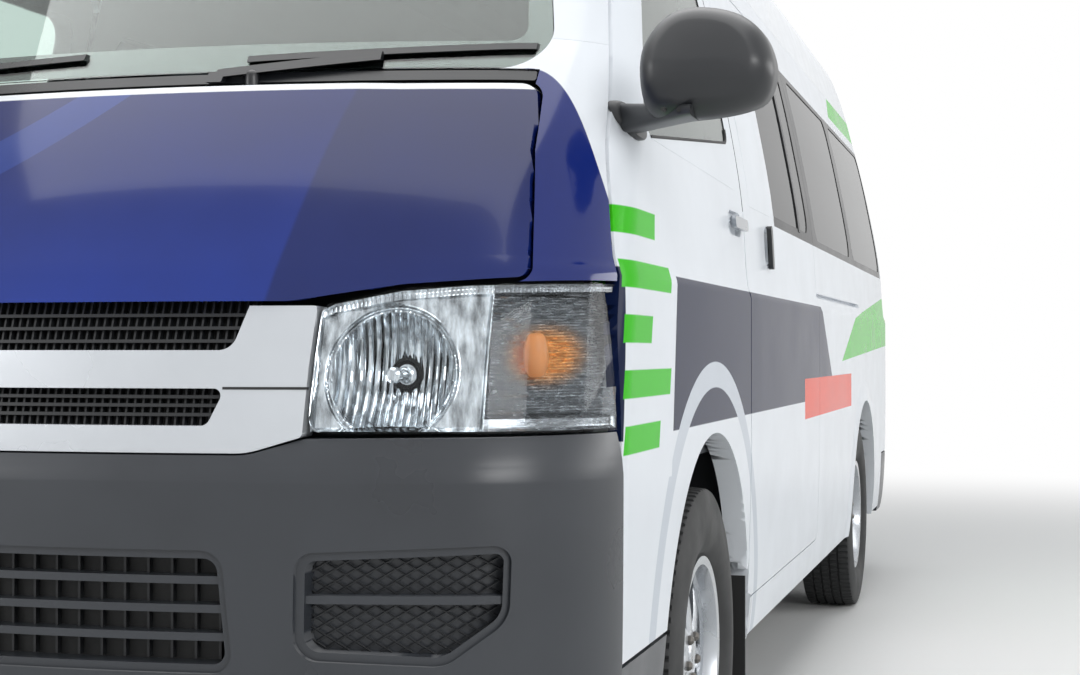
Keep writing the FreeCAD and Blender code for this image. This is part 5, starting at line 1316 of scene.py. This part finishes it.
@dataclass
class Nose:
    """What the nose carries over its dressed panels: fine bars, meshes, lamps and borders."""

    bar_pitch: float = 0.0135
    bar_half: float = 0.0016
    slots: tuple = ((0.968, 1.046, 0.412), (0.852, 0.914, 0.384))
    mesh_pitch: float = 0.0155
    mesh_r: float = 0.0018
    intake: tuple = (0.500, 0.658)
    intake_half: float = 0.404
    jet_x: float = 0.31
    joint_z: float = 0.9125
    recess: tuple = ((0.520, 0.522), (0.722, 0.514), (0.803, 0.575), (0.806, 0.668), (0.522, 0.656))

    def grille_bars(self) -> bpy.types.Object:
        """Stand fine upright bars behind the slats, over a dark sheet that paints the shade inside each slot.

        Returns:
            The bars.
        """
        bundle = Bundle()
        across = self.bar_half * np.array([-1.0, 1.0, 1.0, -1.0])[None, :]
        depth = np.array([0.024, 0.024, 0.036, 0.036])
        for low, high, half in self.slots:
            z = np.linspace(low, high, 4)[:, None]
            for at in np.arange(-half, half, self.bar_pitch):
                p = BODY.at_front(at + across + 0 * z, z + 0 * across)
                p[..., 1] += depth
                bundle.grid(p, round_columns=True, caps=True)
            # Painted shade: a dark sheet behind the bars stands for the shade inside the slot.
            x, z = np.meshgrid(np.linspace(-half, half, 40), np.linspace(low - 0.002, high + 0.002, 5))
            bundle.grid(BODY.at_front(x, z, 0.044), mark=1)
        return bundle.object("grille_bars", [SLAT_BLACK, SEAL_AND_SHADE_BLACK])

    def recess_mesh(self) -> bpy.types.Object:
        """Lay a diamond mesh in both recesses: two families of slanted wires, cut to the outline.

        Returns:
            The meshes.
        """
        bundle = Bundle()
        corners = np.array(self.recess)
        ahead = np.roll(corners, -1, axis=0) - corners
        inward = np.stack([-ahead[:, 1], ahead[:, 0]], 1)
        inward /= np.linalg.norm(inward, axis=1)[:, None]
        offsets = (corners * inward).sum(1)
        middle = corners.mean(axis=0)
        for lean in (1.0, -1.0):
            way = np.array([1.0, 0.62 * lean])
            way /= np.linalg.norm(way)
            across = np.array([-way[1], way[0]])
            for k in np.arange(-20, 21) * self.mesh_pitch:
                origin = middle + across * k
                rate, room = inward @ way, inward @ origin - offsets
                with np.errstate(divide="ignore"):
                    t = -room / rate
                first, last = t[rate > 0].max(), t[rate < 0].min()
                if last - first < 0.008:
                    continue
                line = origin + np.linspace(first, last, 8)[:, None] * way
                for side in Side:
                    path = BUMPER.at_front(side.value * line[:, :1], line[:, 1:], 0.036)[:, 0]
                    bundle.grid(tube(path, self.mesh_r, 5, up=(0, 1, 0)), round_columns=True)
        return bundle.object("recess_mesh", [SLAT_BLACK], 60)

    def intake_back(self) -> bpy.types.Object:
        """Stand thin upright bars behind the intake's slats, and a dark sheet that paints the shade inside
        the intake.

        Returns:
            The bars and the sheet.
        """
        bundle = Bundle()
        # Painted shade: a dark sheet behind the bars stands for the shade inside the intake.
        x, z = np.meshgrid(np.linspace(-self.intake_half, self.intake_half, 40), np.linspace(*self.intake, 7))
        bundle.grid(BUMPER.at_front(x, z, 0.051), mark=1)
        for at in np.arange(-0.38, 0.39, 0.038):
            x, z = np.meshgrid((at - 0.002, at + 0.002), (self.intake[0] + 0.002, self.intake[1] - 0.002))
            p = BUMPER.at_front(x, z, 0.04)
            loop = np.concatenate([p, (p + (0, 0.01, 0))[:, ::-1]], axis=1)
            bundle.grid(loop, round_columns=True, caps=True)
        return bundle.object("intake_back", [SLAT_BLACK, SEAL_AND_SHADE_BLACK])

    def screen_border(self) -> bpy.types.Object:
        """Lay the black border behind the windscreen, between its outline and one inside it.

        Returns:
            The border.
        """
        outer = rounded([(-0.790, 1.441), (0.790, 1.441), (0.688, 1.912), (-0.688, 1.912)], 4, True, 0.075)
        inner = rounded([(-0.742, 1.492), (0.742, 1.492), (0.652, 1.880), (-0.652, 1.880)], 4, True, 0.075)
        outer, inner = (np.concatenate([ring + (after - ring) * k for k in np.linspace(0, 0.9, 10)], 1)
                        .reshape(-1, 2) for ring in (outer, inner) for after in (np.roll(ring, -1, axis=0),))
        rows = np.stack([outer * (1 - k) + inner * k for k in (0.0, 0.35, 0.7, 1.0)])
        bundle = Bundle()
        bundle.grid(BODY.at_front(rows[..., 0], rows[..., 1], 0.0085), round_columns=True)
        return bundle.object("windscreen_border", [BORDER_BLACK])

    def nozzle(self) -> bpy.types.Object:
        """Set the washer's two jets on the cowl.

        Returns:
            The jets.
        """
        bundle = Bundle()
        dome = rounded([(-0.012, 0.013), (0.004, 0.013), (0.014, 0.010), (0.018, 0.0)], 2)
        for at in (-self.jet_x, self.jet_x):
            place = BODY.at_front(np.array([[at]]), np.array([[1.418]]))[0, 0]
            bundle.grid(turned(dome, 20, place + (0, 0.006, 0.004), axis=2), True)
        return bundle.object("washer_jets", [SATIN_BLACK])

    def grille_split(self) -> bpy.types.Object:
        """Lay the dark joint that runs from the lower slot's upper corners out to the lamps.

        Returns:
            The joint's two lines.
        """
        bundle = Bundle()
        for side in Side:
            x = side.value * np.linspace(0.386, 0.516, 12)[:, None]
            z = self.joint_z + np.array([-0.002, 0.002])[None, :]
            face = BODY.at_front(x + 0 * z, z + 0 * x, -0.0006)
            back = BODY.at_front(x + 0 * z, z + 0 * x, 0.003)
            bundle.grid(np.concatenate([face, back[:, ::-1]], axis=1), round_columns=True, caps=True)
        return bundle.object("grille_split", [SEAL_AND_SHADE_BLACK])

    def build(self) -> None:
        """Build and hang the nose's pieces."""
        for make in (self.grille_bars, self.recess_mesh, self.intake_back, self.screen_border, self.nozzle,
                     self.grille_split):
            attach(make(), "root")
        for side in Side:
            lamp = Headlamp(side).build()
            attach(lamp, "root")
            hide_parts("headlamp_housings")
            mirror = DoorMirror(side).build()
            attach(mirror, "door_" + side.word)
            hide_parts("mirror_" + side.word)


@dataclass
class Glazing:
    """The doors' rising sills, and the painted panels and black bars over the cabin's first panes."""

    sill_front: tuple[float, float] = (-2.151, 1.335)
    sill_rise: float = 0.1065
    hole_front: tuple[float, float] = (-2.090, 1.350)
    hole_fall: float = 0.0166
    rear_y: float = -1.185
    fillet: float = 0.030
    lap: float = 0.004
    seal_r: float = 0.0035
    pane_z: tuple[float, float] = (1.310, 1.818)
    panel: tuple = (-0.993, -0.600, (-0.0005, 0.0017))
    bar: tuple = (-0.128, -0.092, (-0.0015, 0.0017))

    def sheet(self, y: np.ndarray, low: np.ndarray, high: np.ndarray, side: Side,
              skins: tuple[float, float]) -> np.ndarray:
        """A thin closed panel on one side of the body.

        Args:
            y: places along.
            low: the lower edge at each place.
            high: the upper edge at each place.
            side: which side.
            skins: the depths of its outer and inner faces.

        Returns:
            A grid of one closed loop a place.
        """
        share = np.linspace(0, 1, 9)[None, :]
        z = low[:, None] + share * (high - low)[:, None]
        along = y[:, None] + 0 * share
        outer, inner = (BODY.at_side(along, z, side, depth) for depth in skins)
        return np.concatenate([outer, inner[:, ::-1]], axis=1)

    def sill(self, side: Side) -> bpy.types.Object:
        """Build one door's sill panel with the rubber along its top.

        The top is a straight rise, and a quarter circle takes it up into the window's rear edge.

        Args:
            side: which side.

        Returns:
            The sill.
        """
        y = np.concatenate([np.linspace(-2.030, self.rear_y - self.fillet, 40),
                            self.rear_y - self.fillet * np.cos(np.linspace(0.2, np.pi / 2, 9)),
                            [self.rear_y + self.lap]])
        low = self.hole_front[1] - self.hole_fall * (y - self.hole_front[0]) - self.lap
        turn = np.clip((y - self.rear_y + self.fillet) / self.fillet, 0, 1)
        high = (self.sill_front[1] + self.sill_rise * (y - self.sill_front[0])
                + self.fillet * (1 - np.sqrt(1 - turn ** 2)))
        bundle = Bundle()
        bundle.grid(self.sheet(y, low, high, side, (-0.0004, 0.0017)), round_columns=True, caps=True)
        path = BODY.at_side(y[:-1], high[:-1], side, 0.0012)
        bundle.grid(tube(path, self.seal_r, 8, up=(1, 0, 0)), round_columns=True, caps=True, mark=1)
        return bundle.object(f"door_sill_{side.word}", [SIDE_PAINT, SEAL_AND_SHADE_BLACK])

    def first_pane(self) -> bpy.types.Object:
        """Build the white panels over the front of the first panes, and the black bars behind them.

        Returns:
            The panels and bars of both sides.
        """
        bundle = Bundle()
        for side in Side:
            for mark, (front, rear, skins) in enumerate((self.panel, self.bar)):
                y = np.linspace(front, rear, 12)
                low, high = (np.full(12, z) for z in self.pane_z)
                bundle.grid(self.sheet(y, low, high, side, skins), round_columns=True, caps=True, mark=mark)
        return bundle.object("first_pane_panels", [SIDE_PAINT, SATIN_BLACK])

    def build(self) -> None:
        """Build and hang the window pieces."""
        for side in Side:
            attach(self.sill(side), "door_" + side.word)
        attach(self.first_pane(), "root")


class Pad(Enum):
    """The soft parts of a seat."""

    CUSHION = "cushions"
    BACK = "backs"
    REST = "headrests"


@dataclass
class Seats:
    """Every seat's soft parts: crowned cushions, leaning backs and headrests, with piped seams."""

    front: tuple = ((-0.455, -1.760, 0.840, 0.500), (0.0, -1.760, 0.840, 0.380),
                    (0.455, -1.760, 0.840, 0.500))
    rows_y: tuple = (-0.850, -0.080, 0.700)
    row_x: tuple = (-0.590, -0.140, 0.590)
    last_x: tuple = (-0.630, -0.210, 0.210, 0.630)
    last_y: float = 1.900
    rear_z: float = 0.910
    rear_width: float = 0.440
    last_width: float = 0.400
    recline: float = 0.085
    back_low: float = 0.120
    back_height: float = 0.560
    power: float = 0.28
    seam_pull: float = 0.035
    seam_width: float = 0.16
    side_pull: float = 0.03
    channel: float = 0.004
    post_x: float = 0.06
    post_r: float = 0.006

    def places(self) -> list[tuple[float, float, float, float]]:
        """Each seat's middle, front, cushion bottom and width."""
        rear = [(x, y, self.rear_z, self.rear_width) for y in self.rows_y for x in self.row_x]
        return [*self.front, *rear, *((x, self.last_y, self.rear_z, self.last_width) for x in self.last_x)]

    def pillow(self, middle: Sequence[float], half: Sequence[float], lean: float = 0.0,
               channels: int = 0) -> np.ndarray:
        """A stuffed form: a rounded box whose sides pull in at the seam and between its corners.

        Each direction on the unit sphere is pushed out to a superellipsoid: every sine and cosine to
        a small power. The seam is a pinch at the equator, and channels are shallow waves over its face.

        Args:
            middle: its middle.
            half: its half width, half depth and half height.
            lean: how far its top stands back of its middle, over its half height.
            channels: how many sewn channels cross its face.

        Returns:
            The grid of points.
        """
        u = np.linspace(-np.pi / 2, np.pi / 2, 26)[:, None]
        v = np.linspace(0, 2 * np.pi, 48, endpoint=False)[None, :]
        lift, wide, across, ahead = (np.sign(a) * np.abs(a) ** self.power
                                     for a in (np.sin(u), np.cos(u), np.cos(v), np.sin(v)))
        x, y = wide * across, wide * ahead
        seam = self.seam_pull * np.exp(-(lift / self.seam_width) ** 2)
        pull = 1 - seam - self.side_pull * (1 - np.abs(x * y))
        hx, hy, hz = half
        wave = self.channel * np.cos(np.pi * channels * x) * (np.abs(x) < 0.9) * (channels > 0)
        parts = (hx * x * pull, hy * y * pull + wave * np.sign(y),
                 hz * lift * (1 - 0.05 * (x ** 2 + y ** 2) / 2))
        points = np.stack(np.broadcast_arrays(*parts), -1)
        points[..., 1] += lean * points[..., 2] / hz
        return points + np.asarray(middle)

    def build(self) -> None:
        """Build the cushions, the backs and the headrests, each as one padded piece."""
        bundles = {pad: Bundle() for pad in Pad}
        for x, y, z, width in self.places():
            half = width / 2 - 0.004
            bundles[Pad.CUSHION].grid(self.pillow((x, y + 0.222, z + 0.068), (half, 0.218, 0.062),
                                                  channels=3))
            tall = (self.back_height - self.back_low) / 2
            rise = self.back_low + tall
            lean = self.recline * tall / self.back_height
            bundles[Pad.BACK].grid(self.pillow((x, y + 0.405 + self.recline * rise / self.back_height,
                                                z + rise), (half, 0.047, tall), lean, channels=3))
            top = z + self.back_height + 0.025
            bundles[Pad.REST].grid(self.pillow((x, y + 0.515, top + 0.075), (0.118, 0.037, 0.073)))
        for pad, bundle in bundles.items():
            made = bundle.object("seat_" + pad.value, [SEAT_CLOTH], 60)
            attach(made, "root")
            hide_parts("seats")
        posts = Bundle()
        for x, y, z, _ in self.places():
            for side in (-self.post_x, self.post_x):
                foot = np.array([x + side, y + 0.505, z + self.back_height - 0.02])
                posts.grid(tube(foot + np.linspace(0, 1, 3)[:, None] * (0, 0.004, 0.06), self.post_r, 10,
                                up=(0, 1, 0)), round_columns=True, caps=True)
        made = posts.object("headrest_posts", [CHROME])
        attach(made, "root")


NODE_FINISHES = {
    "wipers": SATIN_BLACK, "floor_pan": FLOOR_VINYL, "bulkhead": TRIM_DARK,
    "dashboard": TRIM_DARK, "steering_wheel": TRIM_DARK, "seat_bases": TRIM_DARK,
    "chassis_rails": UNDERBODY, "front_suspension": UNDERBODY, "rear_axle": CAST_IRON, "engine": CAST_IRON,
    "radiator": UNDERBODY, "fuel_tank": UNDERBODY, "exhaust": CAST_IRON, "spare_wheel": TYRE_RUBBER,
    "mud_flaps": SEAL_AND_SHADE_BLACK, "knuckle_left": CAST_IRON, "knuckle_right": CAST_IRON,
}


def finish_nodes() -> None:
    """Give each node that still shows its own finish."""
    for name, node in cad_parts.items():
        finish = NODE_FINISHES.get(name)
        if finish is not None:
            node.data.materials.clear()
            node.data.materials.append(finish.material())


@dataclass
class Studio:
    """A pale floor, soft lights and the camera at the photograph's angle."""

    place: tuple[float, float, float] = (1.561, -4.906, 0.968)
    turn: tuple[float, float, float] = (90.48, 0.0, 16.49)
    lens: float = 55.53
    sensor: float = 36.0
    floor_half: float = 30.0
    fade: tuple[float, float] = (3.4, 9.0)
    lamps: tuple = (
        ("overhead", (0.0, -1.0, 5.2), (0.0, -0.6, 0.0), (5.5, 7.0), 260.0),
        ("front_left", (4.6, -6.2, 3.2), (0.4, -1.8, 0.9), (2.6, 2.2), 140.0),
        ("front_right", (-4.5, -6.0, 2.6), (-0.2, -2.2, 0.8), (2.4, 2.4), 90.0),
        ("side_left", (6.5, 1.5, 2.4), (0.9, 0.8, 1.0), (5.0, 1.8), 120.0),
    )

    def seen(self, tree: bpy.types.NodeTree) -> bpy.types.Node:
        """Whether a ray comes from the camera, or by way of a mirror or glass.

        Args:
            tree: the material's or the world's tree.

        Returns:
            A node that gives 1 for such rays and 0 for the others.
        """
        path = add(tree, "LightPath")
        rays = [path.outputs[f"Is {kind} Ray"] for kind in ("Camera", "Glossy", "Transmission")]
        return reduce(lambda one, other: add(tree, "Math", {0: one, 1: other}, operation="MAXIMUM"), rays)

    def floor(self) -> None:
        """Lay a flat floor far past the view, white to the camera and to mirrors."""
        corners = self.floor_half * np.array([(-1, -1, 0), (1, -1, 0), (1, 1, 0), (-1, 1, 0)], float)
        made = piece("floor", corners, [(0, 1, 2, 3)], [])
        pale = bpy.data.materials.new("pale_floor")
        pale.use_nodes = True
        tree = pale.node_tree
        tree.nodes.clear()
        place = add(tree, "TexCoord").outputs["Object"]
        grain = add(tree, "TexNoise", {"Vector": place, "Scale": 300.0})
        relief = add(tree, "Bump", {"Height": grain.outputs["Fac"], "Distance": 0.0002})
        matt = add(tree, "BsdfPrincipled", {"Base Color": linear("EFEFED"), "Roughness": 0.75,
                                            "Normal": relief})
        away = add(tree, "VectorMath", {0: place}, operation="LENGTH")
        past = add(tree, "MapRange", {"Value": away.outputs["Value"], "From Min": self.fade[0],
                                      "From Max": self.fade[1]}, interpolation_type="SMOOTHSTEP")
        white = add(tree, "Emission", {"Color": (1.0, 1.0, 1.0, 1.0), "Strength": 1.0})
        share = add(tree, "Math", {0: past, 1: self.seen(tree)}, operation="MULTIPLY")
        blend = add(tree, "MixShader", {0: share, 1: matt, 2: white})
        add(tree, "OutputMaterial", {"Surface": blend})
        made.data.materials.append(pale)

    def world(self) -> None:
        """Light evenly from all round, and show white behind the object and in its mirrors."""
        world = bpy.data.worlds.new("studio")
        bpy.context.scene.world = world
        world.use_nodes = True
        tree = world.node_tree
        tree.nodes.clear()
        low = add(tree, "Background", {"Color": linear("DCE3EA"), "Strength": 0.34})
        high = add(tree, "Background", {"Color": (1.0, 1.0, 1.0, 1.0), "Strength": 1.0})
        mixed = add(tree, "MixShader", {0: self.seen(tree), 1: low, 2: high})
        add(tree, "OutputWorld", {"Surface": mixed})

    def lamp(self, name: str, place: Sequence[float], toward: Sequence[float], size: Sequence[float],
             power: float) -> None:
        """Add one soft rectangular lamp.

        Args:
            name: its name.
            place: where it stands.
            toward: the point that it looks at.
            size: its width and height.
            power: its power in watts.
        """
        light = bpy.data.lights.new(name, "AREA")
        light.shape = "RECTANGLE"
        light.size, light.size_y = size
        light.energy = power
        made = bpy.data.objects.new(name, light)
        made.location = place
        aim = Vector(toward) - made.location
        made.rotation_euler = aim.to_track_quat("-Z", "Y").to_euler()
        bpy.context.scene.collection.objects.link(made)

    def build(self) -> None:
        """Set the floor, the lights and the camera."""
        self.floor()
        self.world()
        for lamp in self.lamps:
            self.lamp(*lamp)
        camera = bpy.data.cameras.new("camera")
        camera.lens = self.lens
        camera.sensor_width = self.sensor
        made = bpy.data.objects.new("camera", camera)
        made.location = self.place
        made.rotation_euler = [math.radians(a) for a in self.turn]
        bpy.context.scene.collection.objects.link(made)
        bpy.context.scene.camera = made
        bpy.context.scene.view_settings.view_transform = "Standard"


def main() -> None:
    """Build every part of the vehicle's looks and the studio, in turn."""
    logging.basicConfig(level=logging.INFO, format="%(name)s: %(message)s")
    finish_nodes()
    wheels = [Wheel(end, side, track, y) for side in Side
              for end, track, y in (("front", 1.655, FRONT_AXLE_Y), ("rear", 1.650, REAR_AXLE_Y))]
    for part in (Body(), *wheels, Nose(), Glazing(), Seats(), Studio()):
        part.build()
        log.info("built %s", type(part).__name__)


if __name__ == "__main__":
    main()
